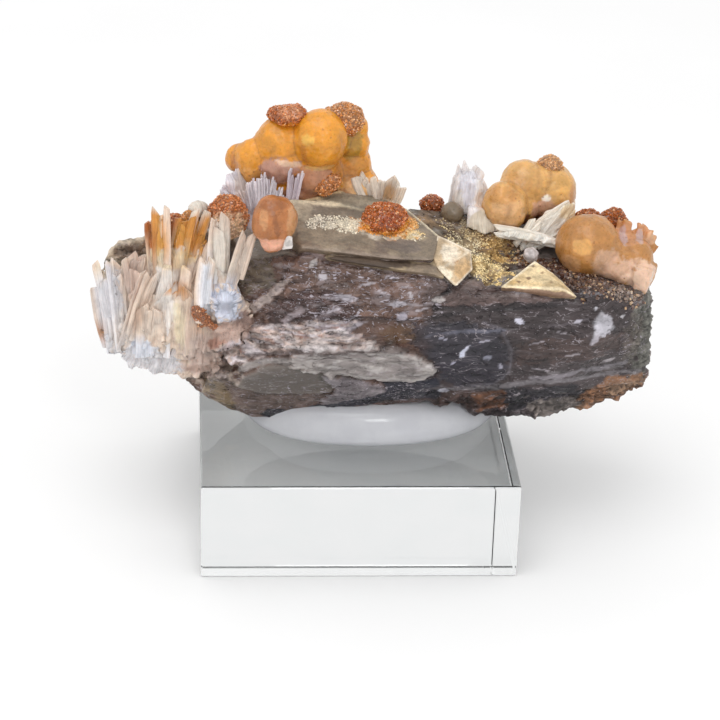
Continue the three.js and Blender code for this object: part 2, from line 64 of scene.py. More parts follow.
def placed(name, data):
    """An object in the scene, for a mesh, a lamp or a camera."""
    made = bpy.data.objects.new(name, data)
    bpy.context.scene.collection.objects.link(made)
    return made


def new_piece(name, points, faces):
    mesh = bpy.data.meshes.new(name)
    mesh.from_pydata(np.asarray(points, float).tolist(), [], faces)
    return placed(name, mesh)


def piece_from(shape, name):
    """A piece from a bmesh, which is freed."""
    mesh = bpy.data.meshes.new(name)
    shape.to_mesh(mesh)
    shape.free()
    return placed(name, mesh)


def cad_shape(node):
    """A welded copy of a CAD node's mesh, in millimetres."""
    shape = bmesh.new()
    shape.from_mesh(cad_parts[node].data)
    bmesh.ops.scale(shape, vec=(1 / MM,) * 3, verts=shape.verts)
    bmesh.ops.remove_doubles(shape, verts=shape.verts, dist=0.002)
    return piece_from(shape, node + "_copy")


def apply_modifiers(piece):
    bpy.context.view_layer.update()
    depsgraph = bpy.context.evaluated_depsgraph_get()
    made = bpy.data.meshes.new_from_object(
        piece.evaluated_get(depsgraph), preserve_all_data_layers=True, depsgraph=depsgraph)
    piece.modifiers.clear()
    piece.data = made
    return piece


def remeshed(piece, voxel):
    """One closed skin over all that the piece holds."""
    skin = piece.modifiers.new("skin", "REMESH")
    skin.mode = "VOXEL"
    skin.voxel_size = voxel
    skin.use_smooth_shade = True
    return apply_modifiers(piece)


def refined(piece, towards, least):
    """Cuts in four the faces that look towards a side."""
    shape = bmesh.new()
    shape.from_mesh(piece.data)
    edges = {edge for face in shape.faces if face.normal.dot(towards) > least for edge in face.edges}
    bmesh.ops.subdivide_edges(shape, edges=list(edges), cuts=1, use_grid_fill=True)
    shape.to_mesh(piece.data)
    shape.free()
    return piece


def joined(pieces):
    first = pieces[0]
    if len(pieces) > 1:
        with bpy.context.temp_override(
                active_object=first, object=first, selected_objects=pieces, selected_editable_objects=pieces):
            bpy.ops.object.join()
    return first


def points_of(piece):
    rows = np.empty(len(piece.data.vertices) * 3)
    piece.data.vertices.foreach_get("co", rows)
    return rows.reshape(-1, 3)


def normals_of(piece):
    rows = np.empty(len(piece.data.vertices) * 3)
    piece.data.vertex_normals.foreach_get("vector", rows)
    return rows.reshape(-1, 3)


def move_points(piece, points):
    piece.data.vertices.foreach_set("co", np.asarray(points, float).ravel())
    piece.data.update()


def cloud(points, size, octaves=4, seed=0.0):
    """Fractal noise, about -1 to 1. size is the size of its lumps in millimetres, one number or three."""
    rows = (points / np.asarray(size, float) + seed).tolist()
    return np.array([noise.fractal(row, 1.0, 2.0, octaves) for row in rows])


def ramp(values, low, high):
    share = np.clip((values - low) / (high - low), 0, 1)
    return share * share * (3 - 2 * share)


def linear(colour):
    """Scene colour of an sRGB colour given from 0 to 255."""
    share = np.asarray(colour, float) / 255
    return np.where(share <= 0.04045, share / 12.92, ((share + 0.055) / 1.055) ** 2.4)


def layer_of(piece, name, kind):
    """The piece's vertex layer of that name, made if it is missing."""
    return piece.data.attributes.get(name) or piece.data.attributes.new(name, kind, "POINT")


def store_tone(piece, colour, amount=None):
    """Writes the colour of each vertex, with one more number beside it, for the finish to read."""
    rows = np.ones((len(colour), 4))
    rows[:, :3] = colour
    if amount is not None:
        rows[:, 3] = amount
    layer_of(piece, "tone", "FLOAT_COLOR").data.foreach_set("color", rows.ravel())


def store_number(piece, name, values):
    layer_of(piece, name, "FLOAT").data.foreach_set("value", np.asarray(values, float).ravel())


def patch_mask(points, ragged, patch):
    """How much of a patch lies on each point. A patch is its centre, its half lengths along X, Y and Z, and
    the angle that it is turned about Y."""
    centre, half, turn = patch[:3]
    away = points - np.array(centre, float)
    angle = math.radians(turn)
    along = away[:, 0] * math.cos(angle) + away[:, 2] * math.sin(angle)
    up = -away[:, 0] * math.sin(angle) + away[:, 2] * math.cos(angle)
    reach = np.sqrt((along / half[0]) ** 2 + (away[:, 1] / half[1]) ** 2 + (up / half[2]) ** 2)
    return 1 - ramp(reach + ragged, 0.84, 1.06)


def inside(points, corners, grow):
    """Which points lie in the convex shape through the corners, grown a little."""
    shape = bmesh.new()
    for corner in corners:
        shape.verts.new(corner)
    bmesh.ops.convex_hull(shape, input=shape.verts)
    bmesh.ops.recalc_face_normals(shape, faces=shape.faces)
    shape.normal_update()
    held = np.ones(len(points), bool)
    for face in shape.faces:
        held &= (points - np.array(face.verts[0].co)) @ np.array(face.normal) < grow
    shape.free()
    return held


def paint(piece, colour, patches, ragged=0.3, lump=2.2, amount=None):
    """Colours the piece: a ground colour, or one for each vertex, under a list of ragged patches, which are
    stains and a few painted highlights and glows. Each patch is centre, half lengths, turn, colour and
    strength."""
    points = points_of(piece)
    ground = np.asarray(colour, float)
    tone = np.tile(linear(ground), (len(points), 1)) if ground.ndim == 1 else ground.copy()
    edge = ragged * (cloud(points, lump, 3, 5.3) + 0.5 * cloud(points, lump * 0.3, 2, 9.1))
    for patch in patches:
        share = patch_mask(points, edge, patch) * patch[4]
        tone += (linear(patch[3]) - tone) * share[:, None]
    store_tone(piece, tone, amount)
    return tone


def shade_smooth(piece, smooth=True):
    piece.data.polygons.foreach_set("use_smooth", [smooth] * len(piece.data.polygons))


def finished(piece, name, nodes, finish):
    """Gives a shaped piece its name, its finish and its place in the frame, in metres."""
    piece.data.transform(Matrix.Scale(MM, 4))
    piece.name = piece.data.name = name
    piece.data.materials.clear()
    piece.data.materials.append(finish)
    piece.data.polygons.foreach_set("material_index", [0] * len(piece.data.polygons))
    piece.data.update()
    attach(piece, "root")
    if nodes:
        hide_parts(*nodes)
    return piece


# Finishes

class Wire:
    """A shader socket. Sums, differences and products of wires and numbers add their Math nodes."""

    def __init__(self, finish, socket):
        self.finish, self.socket = finish, socket

    def _sum(self, operation, first, second):
        return self.finish.add("ShaderNodeMath", {"operation": operation}, {0: first, 1: second})

    def __add__(self, other):
        return self._sum("ADD", self, other)

    __radd__ = __add__

    def __sub__(self, other):
        return self._sum("SUBTRACT", self, other)

    def __rsub__(self, other):
        return self._sum("SUBTRACT", other, self)

    def __mul__(self, other):
        return self._sum("MULTIPLY", self, other)

    __rmul__ = __mul__


class Finish:
    """One material. add() makes any node and returns the wire from one of its outputs."""

    def __init__(self, name):
        self.material = bpy.data.materials.new(name)
        self.material.use_nodes = True
        self.tree = self.material.node_tree
        self.tree.nodes.clear()

    def add(self, kind, settings=None, inputs=None, out=0):
        node = self.tree.nodes.new(kind)
        for key, value in (settings or {}).items():
            setattr(node, key, value)
        for key, value in (inputs or {}).items():
            if isinstance(value, Wire):
                self.tree.links.new(value.socket, node.inputs[key])
            else:
                node.inputs[key].default_value = value
        return Wire(self, node.outputs[out])

    def place(self, size):
        """Object coordinates counted in lumps of a size in millimetres, one number or three."""
        spread = [1 / (MM * part) for part in (size if isinstance(size, tuple) else (size,) * 3)]
        where = self.add("ShaderNodeTexCoord", out="Object")
        return self.add("ShaderNodeVectorMath", {"operation": "MULTIPLY"}, {0: where, 1: spread})

    def mottle(self, size, detail=4, rough=0.6, warp=0.0):
        """Noise whose lumps have a size in millimetres, one number or three."""
        return self.add("ShaderNodeTexNoise", {}, {
            "Vector": self.place(size), "Scale": 1.0, "Detail": detail, "Roughness": rough,
            "Distortion": warp})

    def between(self, value, low, high, to_low=0.0, to_high=1.0):
        """The value's span from low to high, stretched smoothly to another span."""
        return self.add("ShaderNodeMapRange", {"interpolation_type": "SMOOTHSTEP"}, {
            "Value": value, "From Min": low, "From Max": high, "To Min": to_low, "To Max": to_high})

    def tone(self, out="Color"):
        return self.add("ShaderNodeAttribute", {"attribute_name": "tone"}, out=out)

    def number(self, name):
        return self.add("ShaderNodeAttribute", {"attribute_name": name}, out="Fac")

    def dimmed(self, colour, share):
        return self.add("ShaderNodeVectorMath", {"operation": "SCALE"}, {0: colour, "Scale": share})

    def mixed(self, share, first, second):
        return self.add("ShaderNodeMix", {"data_type": "RGBA"}, {0: share, 6: first, 7: second}, out=2)

    def bump(self, height, depth):
        """depth is the relief in millimetres."""
        return self.add("ShaderNodeBump", {}, {"Height": height, "Distance": depth * MM, "Strength": 1.0})

    def surface(self, **values):
        """The material, from values for its surface sockets. An underscore stands for a space."""
        sockets = {key.replace("_", " "): value for key, value in values.items()}
        shader = self.add("ShaderNodeBsdfPrincipled", {}, sockets)
        output = self.tree.nodes.new("ShaderNodeOutputMaterial")
        self.tree.links.new(shader.socket, output.inputs["Surface"])
        return self.material


def rgb(*colour):
    return (*linear(colour), 1.0)


def smoky_fluorite():
    """Dark glassy rock with pale threads, dark seams and frayed flakes. The number beside the tone says how
    flaky it is, rough how broken its skin is, and calm how smooth it lies."""
    finish = Finish("smoky_fluorite")
    tone = finish.tone()
    flaky = finish.tone("Alpha")
    rough = finish.number("rough")
    clouds = finish.mottle((6.0, 3.5, 2.8), 4, 0.52, 1.3)
    skin = finish.mottle((1.6, 1.3, 1.1), 3, 0.52, 0.9)
    crumb = finish.mottle(0.6, 4, 0.65)
    veins = finish.mottle((6.0, 3.0, 2.0), 3, 0.5, 1.8)
    seams = finish.mottle((5.0, 2.6, 1.5), 3, 0.5, 2.2)
    flakes = finish.mottle((2.3, 1.4, 0.85), 6, 0.64, 1.9)
    specks = finish.mottle(0.34, 2, 0.5)
    busy = 1 - finish.number("calm")
    body = finish.dimmed(tone, finish.between(clouds, 0.34, 0.66, 1 - busy * 0.3, 1 + busy * 0.34))
    body = finish.dimmed(body, finish.between(skin, 0.3, 0.7, 1 - busy * 0.2, 1 + busy * 0.24))
    body = finish.dimmed(body, 1 + (finish.between(crumb, 0.3, 0.7) - 0.5) * rough * 0.35)
    thread = finish.between(veins, 0.487, 0.5) * finish.between(veins, 0.5, 0.513, 1.0, 0.0)
    thread = thread * finish.between(clouds, 0.46, 0.56)
    seam = finish.between(seams, 0.484, 0.5) * finish.between(seams, 0.5, 0.516, 1.0, 0.0)
    seam = seam * finish.between(clouds, 0.46, 0.56, 1.0, 0.0)
    body = finish.mixed(seam * busy * 0.65, body, rgb(30, 26, 30))
    body = finish.mixed(thread * 0.7, body, rgb(176, 167, 172))
    fleck = finish.between(flakes + flaky * 0.075, 0.655, 0.675)
    speck = finish.between(specks + flaky * 0.05, 0.71, 0.75)
    body = finish.mixed(fleck * 0.8, body, rgb(188, 179, 188))
    body = finish.mixed(speck * 0.6, body, rgb(190, 180, 184))
    relief = clouds * 1.3 + skin * busy * 0.6 + crumb * rough * 0.3 + fleck * 0.3 - seam * busy * 0.4
    dull = finish.between(skin, 0.3, 0.7, 0.12, 0.28) + rough * 0.26
    return finish.surface(
        Base_Color=body, Roughness=dull, Specular_IOR_Level=0.42, Normal=finish.bump(relief, 0.5))


def cleavage_plate():
    """The flat roof of the fluorite: olive grey, finely frosted, with a soft sheen."""
    finish = Finish("cleavage_plate")
    tone = finish.tone()
    frost = finish.mottle(0.4, 5, 0.7)
    clouds = finish.mottle((3.4, 2.2, 1.6), 5, 0.6, 0.4)
    body = finish.dimmed(tone, finish.between(clouds, 0.3, 0.7, 0.68, 1.26))
    body = finish.dimmed(body, finish.between(frost, 0.3, 0.7, 0.8, 1.22))
    return finish.surface(
        Base_Color=body, Roughness=finish.between(frost, 0.3, 0.7, 0.3, 0.55),
        Normal=finish.bump(frost * 0.6 + clouds, 0.16))


def waxy_smithsonite():
    """Waxy balls, faintly mottled, with fine pits and a soft glow through their skin."""
    finish = Finish("waxy_smithsonite")
    tone = finish.tone()
    clouds = finish.mottle(2.3, 5, 0.55, 0.5)
    skin = finish.mottle(0.5, 5, 0.6)
    pits = finish.add("ShaderNodeTexVoronoi", {"feature": "F1"}, {"Vector": finish.place(1.1), "Scale": 1.0},
                      out="Distance")
    pit = finish.between(pits, 0.1, 0.2, 1.0, 0.0) * finish.between(clouds, 0.5, 0.6)
    body = finish.dimmed(tone, finish.between(clouds, 0.3, 0.7, 0.84, 1.14))
    body = finish.dimmed(body, finish.between(skin, 0.3, 0.7, 0.93, 1.07))
    body = finish.mixed(pit * 0.45, body, rgb(132, 82, 40))
    return finish.surface(
        Base_Color=body, Roughness=finish.between(skin, 0.25, 0.75, 0.24, 0.42), Subsurface_Weight=0.22,
        Subsurface_Radius=(1.0, 0.5, 0.2), Subsurface_Scale=0.0012, Coat_Weight=0.25, Coat_Roughness=0.16,
        Normal=finish.bump(clouds + skin * 0.25 - pit * 0.3, 0.22))


def sparkling_druse():
    """Tiny glassy crystals, each with its own depth of red-brown; the palest of them carry a painted pale
    glint.
    """
    finish = Finish("sparkling_druse")
    tone = finish.tone()
    shade = finish.number("shade")
    grain = finish.mottle(0.5, 3, 0.6)
    body = finish.dimmed(tone, shade * 0.8 + 0.62)
    # The palest grains get a painted pale glint
    body = finish.mixed(finish.between(shade, 0.84, 0.95) * 0.55, body, rgb(240, 202, 160))
    body = finish.dimmed(body, finish.between(grain, 0.3, 0.7, 0.8, 1.2))
    return finish.surface(
        Base_Color=body, Roughness=finish.between(grain, 0.3, 0.7, 0.1, 0.28), Subsurface_Weight=0.15,
        Subsurface_Radius=(1.0, 0.5, 0.2), Subsurface_Scale=0.0008, Coat_Weight=0.5, Coat_Roughness=0.06)


def sugary_crust():
    """Loose pale grains, each a little lighter or darker than the next."""
    finish = Finish("sugary_crust")
    shade = finish.number("shade")
    grain = finish.mottle(0.4, 3, 0.6)
    body = finish.dimmed(finish.tone(), shade * 0.7 + 0.65)
    body = finish.dimmed(body, finish.between(grain, 0.3, 0.7, 0.88, 1.12))
    return finish.surface(Base_Color=body, Roughness=finish.between(grain, 0.3, 0.7, 0.25, 0.5))


def silky_barite():
    """White blades with fine lengthwise lines. The grain attribute runs across and along each blade."""
    finish = Finish("silky_barite")
    tone = finish.tone()
    grain = finish.add("ShaderNodeAttribute", {"attribute_name": "grain"}, out="Vector")

    def lines(across, along, detail):
        spot = finish.add("ShaderNodeVectorMath", {"operation": "MULTIPLY"}, {
            0: grain, 1: (across, along, 1.0)})
        return finish.add("ShaderNodeTexNoise", {}, {
            "Vector": spot, "Scale": 1.0, "Detail": detail, "Roughness": 0.6})

    fine = lines(5.5, 0.22, 5)
    broad = lines(1.1, 0.12, 3)
    cloudy = finish.mottle(1.4, 4, 0.6)
    single = finish.number("shade")
    body = finish.dimmed(tone, finish.between(fine, 0.3, 0.7, 0.86, 1.12))
    body = finish.dimmed(body, finish.between(broad, 0.3, 0.7, 0.88, 1.08))
    body = finish.dimmed(body, finish.between(cloudy, 0.3, 0.7, 0.9, 1.08))
    body = finish.dimmed(body, single * 0.2 + 0.88)
    return finish.surface(
        Base_Color=body, Roughness=finish.between(fine, 0.3, 0.7, 0.22, 0.42), Subsurface_Weight=0.3,
        Subsurface_Radius=(1.0, 0.8, 0.7), Subsurface_Scale=0.0012, Normal=finish.bump(fine + broad, 0.2))


def clear_crystal(name, colour, clearness):
    """Glassy crystal with a faint cloud in it. clearness is its share of transmitted light."""
    finish = Finish(name)
    cloudy = finish.mottle(0.9, 4, 0.6, 0.6)
    body = finish.mixed(finish.between(cloudy, 0.35, 0.65), rgb(*colour), rgb(*(0.8 * np.array(colour))))
    return finish.surface(
        Base_Color=body, Roughness=finish.between(cloudy, 0.3, 0.7, 0.05, 0.22), IOR=1.5,
        Transmission_Weight=clearness, Normal=finish.bump(cloudy, 0.2))


def milky_gel():
    """Soft clear gel, slightly clouded, with a fine ripple in its skin."""
    finish = Finish("milky_gel")
    ripple = finish.mottle((7.0, 5.0, 4.0), 2, 0.4)
    haze = finish.mottle(4.0, 4, 0.6)
    body = finish.mixed(finish.between(haze, 0.35, 0.65), rgb(244, 245, 250), rgb(237, 238, 244))
    return finish.surface(
        Base_Color=body, Roughness=finish.between(haze, 0.3, 0.7, 0.08, 0.22), IOR=1.41,
        Transmission_Weight=0.35, Normal=finish.bump(ripple, 0.25))


def polished_acrylic():
    """Clear polished acrylic with a few faint rubs."""
    finish = Finish("polished_acrylic")
    rub = finish.mottle((9.0, 9.0, 5.0), 6, 0.7)
    tint = finish.mixed(finish.between(rub, 0.4, 0.6), rgb(250, 251, 251), rgb(247, 249, 249))
    return finish.surface(
        Base_Color=tint, Roughness=finish.between(rub, 0.45, 0.75, 0.0, 0.03), IOR=1.49,
        Transmission_Weight=1.0)


# Fluorite: the rock itself

# Ground colours: the slab at the right of the show side, its brown middle, the back, the roof, and the
# painted shade on faces that look down
SLAB, MIDDLE, BACK = (79, 68, 69), (120, 91, 79), (104, 94, 90)
ROOF, UNDERSIDE_SHADE = (120, 112, 102), (56, 48, 49)
# How far the rock's own skin keeps clear of the sharp plates laid over it: the margin and the sink
PLATE_MARGIN, PLATE_SINK = 0.75, 0.55

# Zones of the show side. Each is an outline through (x, z), how far it stands out, how ragged its edge is,
# its colour and its strength
Zone = namedtuple("Zone", "outline lift ragged colour strength")
PINK_BAND = [
    (-23, 35.5), (-18.5, 37.5), (-13.5, 37), (-9, 38.5), (-5, 39), (-1, 39), (-2.5, 37.5), (0.5, 36.5),
    (4, 35), (-2, 34.5), (-9.5, 33.5), (-13.5, 32.8), (-16, 31.8), (-19, 30.5), (-21.5, 28), (-26, 25),
    (-30, 29),
]
TONGUE = [
    (-9.5, 34), (-5, 35), (0, 35.5), (5, 35), (8.5, 33.5), (11, 32), (12, 30.5), (11.5, 29.5), (8.5, 28),
    (5.5, 28), (1.5, 28.5), (-3, 29.5), (-7.5, 30.5), (-12, 31.8),
]
DOME = [
    (-18, 29), (-15.5, 31), (-12, 31.6), (-8, 31.2), (-4.5, 30), (-2.5, 28.5), (-4.5, 25.4), (-9, 25),
    (-15.5, 25), (-19.5, 26),
]
LENS = [(3.6, 27.4), (8.5, 28.2), (12.2, 28.6), (13.2, 26.6), (10, 25.6), (6, 25.2), (4.4, 25.6)]
SHOW_ZONES = [
    # the brown middle face, its olive corner, its dark red hollow and its pale streaks
    Zone([(-12, 45), (-9.5, 49), (6, 48.5), (11.5, 47.5), (13.5, 44.5), (11, 42.5), (11, 39.5), (-2.5, 39.5),
          (-6.5, 42), (-12, 41.5)], 0.4, 0.35, (118, 94, 84), 0.4),
    Zone([(-22, 46), (-15.5, 47.5), (-13, 46.5), (-14, 43), (-17.5, 41.6), (-22, 41)], 0.0, 1.0,
         (129, 115, 98), 0.9),
    Zone([(-14.5, 37), (-14.5, 40), (-12, 42), (-9, 43.6), (-5, 43.6), (-1.5, 41.8), (-0.5, 39), (-5, 38.8),
          (-9, 38.3)], -0.3, 0.8, (94, 69, 65), 0.9),
    Zone([(-19.5, 38.3), (-15.5, 41.6), (-11.3, 45.2), (-10.8, 44.6), (-14.3, 40.8), (-18, 37.8)], 0.3, 0.35,
         (184, 168, 161), 0.9),
    Zone([(-13, 38.2), (-9.5, 40.6), (-8.6, 40.2), (-12, 37.6)], 0.3, 0.4, (158, 146, 150), 0.85),
    Zone([(-8.4, 39.2), (-4, 41.6), (-2.6, 40.8), (-6.4, 38.8)], 0.3, 0.5, (132, 120, 124), 0.85),
    # the dark slab
    Zone([(11, 42.3), (13, 43.5), (16, 44.6), (28, 45.2), (32, 44.6), (33, 43.4), (31, 42.4), (24.5, 42),
          (18.5, 41.4), (13, 41.4)], 0.5, 0.45, (101, 83, 79), 0.9),
    Zone([(6.5, 38.5), (10.5, 39), (17, 39), (21.5, 37.5), (23.5, 34), (23.5, 29), (21.5, 27), (16, 26.5),
          (13, 28), (12.5, 30.5), (10.5, 33), (8, 35), (6, 36.5)], 0.2, 0.9, (54, 54, 66), 0.7),
    Zone([(24, 35), (31, 36.4), (41, 36), (41, 33), (33, 31.4), (25, 31)], 0.0, 1.2, (96, 76, 71), 0.7),
    Zone([(2.8, 37.6), (5, 38.8), (8, 38.2), (8, 36.2), (5, 35.6), (3.2, 36)], 0.1, 0.9, (102, 75, 54), 0.9),
    Zone([(37.6, 40.4), (38.6, 39.2), (40.2, 37), (38.4, 36.9), (36, 35.3), (36.8, 37.4), (36.3, 38.6)],
         0.15, 0.12, (188, 185, 192), 0.95),
    # the keel: speckled foot, smooth dome, grey layers and a blue-black lens
    Zone([(-22, 28), (-19.5, 26), (-9, 25), (-4.5, 25.5), (-5.5, 23.5), (-9, 21), (-14, 18), (-19, 19.5)],
         0.0, 0.7, (130, 111, 103), 0.9),
    Zone(DOME, 0.5, 0.25, (117, 110, 104), 0.92),
    Zone([(-6.5, 30), (-2.5, 29), (3.5, 27.2), (4.8, 25.5), (3.5, 24.5), (-1, 23), (-5, 21), (-6, 23.5),
          (-3.5, 25.5)], 0.3, 0.6, (146, 138, 142), 0.9),
    Zone(LENS, -0.1, 0.3, (60, 60, 73), 0.95),
    # the torn pink band and the pale tongue over it
    Zone(PINK_BAND, 0.3, 0.9, (206, 184, 174), 0.95),
    Zone([(-3, 39), (1, 39), (-1, 37.6), (-6, 37.4), (-9, 38)], 0.2, 0.5, (196, 187, 196), 0.9),
    Zone([(-15.6, 35.6), (-12, 35.4), (-11.4, 34.2), (-15, 33.8)], -0.2, 0.6, (124, 78, 60), 0.8),
    Zone(TONGUE, 0.6, 0.45, (163, 155, 152), 0.95),
    Zone([(-12.5, 33.8), (-3, 34.2), (5, 33.8), (4, 33.2), (-4, 33.2), (-12, 32.8)], -0.15, 0.5,
         (116, 107, 105), 0.6),
    # the crumbly underside ledge
    Zone([(3.5, 24.6), (11.5, 26), (19, 25.6), (21, 21.5), (12, 20.5), (4, 21.5)], 0.0, 0.8,
         (84, 63, 56), 0.85),
    Zone([(22, 26), (34, 26.8), (38.5, 24.5), (33, 21), (23, 20.5)], 0.1, 0.9, (42, 40, 47), 0.9),
    Zone([(27, 22.6), (33, 23.4), (38, 23.4), (37, 20), (29, 18.5)], 0.1, 1.0, (136, 126, 120), 0.75),
    Zone([(36, 24.5), (38, 26.2), (41, 27.6), (47, 27.4), (48, 24), (42, 20.5), (36, 20.5)], 0.2, 1.4,
         (158, 112, 78), 0.85),
    Zone([(40, 25), (43, 26.6), (46, 26), (44, 23.6), (40.6, 22.8)], 0.1, 1.4, (186, 152, 124), 0.8),
    Zone([(18.3, 25.2), (23, 25.6), (24, 22), (19.6, 21.4)], 0.1, 1.2, (124, 82, 56), 0.85),
]
# Thin lines on the show side: path, width, colour and strength
SHOW_LINES = [
    ([(17.5, -11.5, 27), (21.5, -11.5, 27.2), (23.7, -12, 29.5), (23.7, -13.5, 34), (22, -13.5, 37.7),
      (19, -13.5, 38.8)], 0.18, (118, 112, 120), 0.8),
    ([(3.5, -10.2, 24.8), (11.5, -11, 25.8), (17.5, -11.2, 26.2), (23.5, -11.2, 26.8), (29.5, -11.6, 27.6),
      (37, -10.6, 28), (45, -7.6, 28)], 0.3, (140, 134, 138), 0.85),
    ([(30, -11, 29.4), (36, -10.6, 29.8), (42, -9, 29.2)], 0.3, (134, 128, 130), 0.7),
    ([(-14, -7.5, 19.6), (-10.5, -7.5, 19.8), (-4.5, -8.5, 21.6), (0.5, -9.5, 23.2), (4.5, -10, 24.6),
      (12, -10.4, 25.2)], 0.75, (46, 46, 56), 0.95),
    ([(-19, -11.5, 29.6), (-15.5, -12, 31.4), (-12, -12.5, 32), (-8, -13, 31.7), (-4, -12.8, 30.4),
      (0, -12.4, 29)], 0.35, (176, 168, 164), 0.85),
    ([(-1.5, -13.4, 39.6), (6, -14, 39.7), (11, -13.5, 39.7), (19, -13.4, 40.8), (32, -12.6, 41.6)], 0.22,
     (48, 41, 44), 0.8),
    ([(8, -13, 36.2), (12, -13, 37.2), (18, -13.2, 37.4), (22.5, -13.5, 37.6)], 0.22, (122, 122, 138), 0.75),
    ([(24, -12.6, 43.4), (30, -12.4, 43.4), (37, -11.4, 43), (44, -8.5, 42.8)], 0.16, (160, 154, 158), 0.8),
    ([(22, -13.4, 37.2), (26, -13, 38.2), (31, -12.8, 38.2), (35.5, -12.4, 39)], 0.14, (134, 124, 130), 0.7),
    ([(25, -13, 36), (29, -12.8, 37), (34, -12.4, 36.4), (37, -12, 35.4)], 0.14, (44, 38, 44), 0.8),
    ([(24.6, -12.8, 34), (28, -12.6, 33.2), (33, -12.2, 34.2), (38.4, -11, 33.8)], 0.16,
     (132, 122, 126), 0.7),
    ([(26, -12.4, 31.8), (31, -12, 32.4), (37, -11.4, 31.6), (42.4, -9.6, 32.4)], 0.2, (46, 40, 44), 0.8),
    ([(28, -12, 30.6), (34, -11.4, 31), (40, -10, 30.6), (43, -8.8, 31.2)], 0.14, (140, 130, 132), 0.7),
    ([(27.3, -11.8, 28.2), (32.4, -11.2, 28.8), (35.2, -10.8, 29.8), (38, -10.2, 29.4), (42.6, -8.6, 30.2)],
     0.34, (168, 161, 168), 0.75),
    ([(11, -13, 43), (17.3, -12.8, 44.3), (23.6, -12.4, 44.4), (30.6, -12, 44)], 0.14, (52, 42, 42), 0.85),
    ([(13.6, -13, 42.2), (19, -13, 43), (25, -12.6, 43.2), (31, -12.4, 43.4)], 0.12, (146, 128, 122), 0.7),
    ([(38.4, -11.6, 36.4), (41, -10.4, 37.2), (43.6, -9, 36.6)], 0.14, (136, 126, 128), 0.7),
    ([(-10, -12, 46.8), (-4, -12.4, 45.6), (3, -12.8, 46), (9, -13, 45.2)], 0.2, (78, 60, 54), 0.75),
    ([(-8, -12.4, 44.6), (-3.5, -12.8, 43.6), (1.5, -13.2, 44), (4, -13.2, 43)], 0.18, (176, 166, 172), 0.8),
    ([(-6, -12.8, 42.8), (-2, -13, 42.2), (0.5, -13.4, 42.8)], 0.24, (182, 172, 178), 0.8),
    ([(2.6, -13.4, 41.8), (5.2, -13.4, 42.6), (8.8, -13.4, 41.8), (11, -13.2, 42.2)], 0.16,
     (170, 160, 164), 0.75),
    ([(-16, -11.4, 39.4), (-12, -12.4, 41), (-9, -12.6, 42.8), (-5, -12.8, 43.4)], 0.16, (60, 42, 40), 0.8),
    ([(-11, -12.4, 39.4), (-8.6, -12.8, 40.8), (-6, -12.8, 41.6)], 0.14, (186, 174, 176), 0.7),
    ([(-20, -11.6, 31.4), (-13, -12.4, 33.2), (-5, -13, 34.2), (3, -13.4, 34.8), (7, -13.4, 34.4)], 0.3,
     (104, 90, 86), 0.8),
    ([(-18, -12, 33), (-11, -12.8, 34.4), (-4, -13.2, 35.2), (2, -13.6, 35.8)], 0.2, (234, 224, 222), 0.8),
]


def outline_reach(points, outline):
    """How far inside an outline each point lies, seen along Y, in millimetres. Less than 0 is outside."""
    spots = points[:, [0, 2]]
    nearest = np.full(len(spots), np.inf)
    held = np.zeros(len(spots), bool)
    corners = np.array(outline, float)
    for start, stop in zip(corners, np.roll(corners, -1, axis=0)):
        along = stop - start
        share = np.clip((spots - start) @ along / (along @ along), 0, 1)
        nearest = np.minimum(nearest, np.linalg.norm(spots - start - share[:, None] * along, axis=1))
        if along[1]:
            crosses = (spots[:, 1] < start[1]) != (spots[:, 1] < stop[1])
            held ^= crosses & (spots[:, 0] < start[0] + (spots[:, 1] - start[1]) * along[0] / along[1])
    return np.where(held, nearest, -nearest)


def draw_lines(tone, points, lines):
    """Ragged thin lines of colour along paths through (x, y, z)."""
    wander = 0.5 * cloud(points, 1.3, 3, 3.7)
    for path, width, colour, strength in lines:
        nearest = np.full(len(points), np.inf)
        for start, stop in zip(np.array(path[:-1], float), np.array(path[1:], float)):
            along = stop - start
            share = np.clip((points - start) @ along / (along @ along), 0, 1)
            away = (points - start - share[:, None] * along) * (1, 0.35, 1)
            nearest = np.minimum(nearest, np.linalg.norm(away, axis=1))
        share = strength * ramp(width * (1.5 + 1.5 * wander) - nearest, -0.1, 0.2)
        tone += (linear(colour) - tone) * share[:, None]


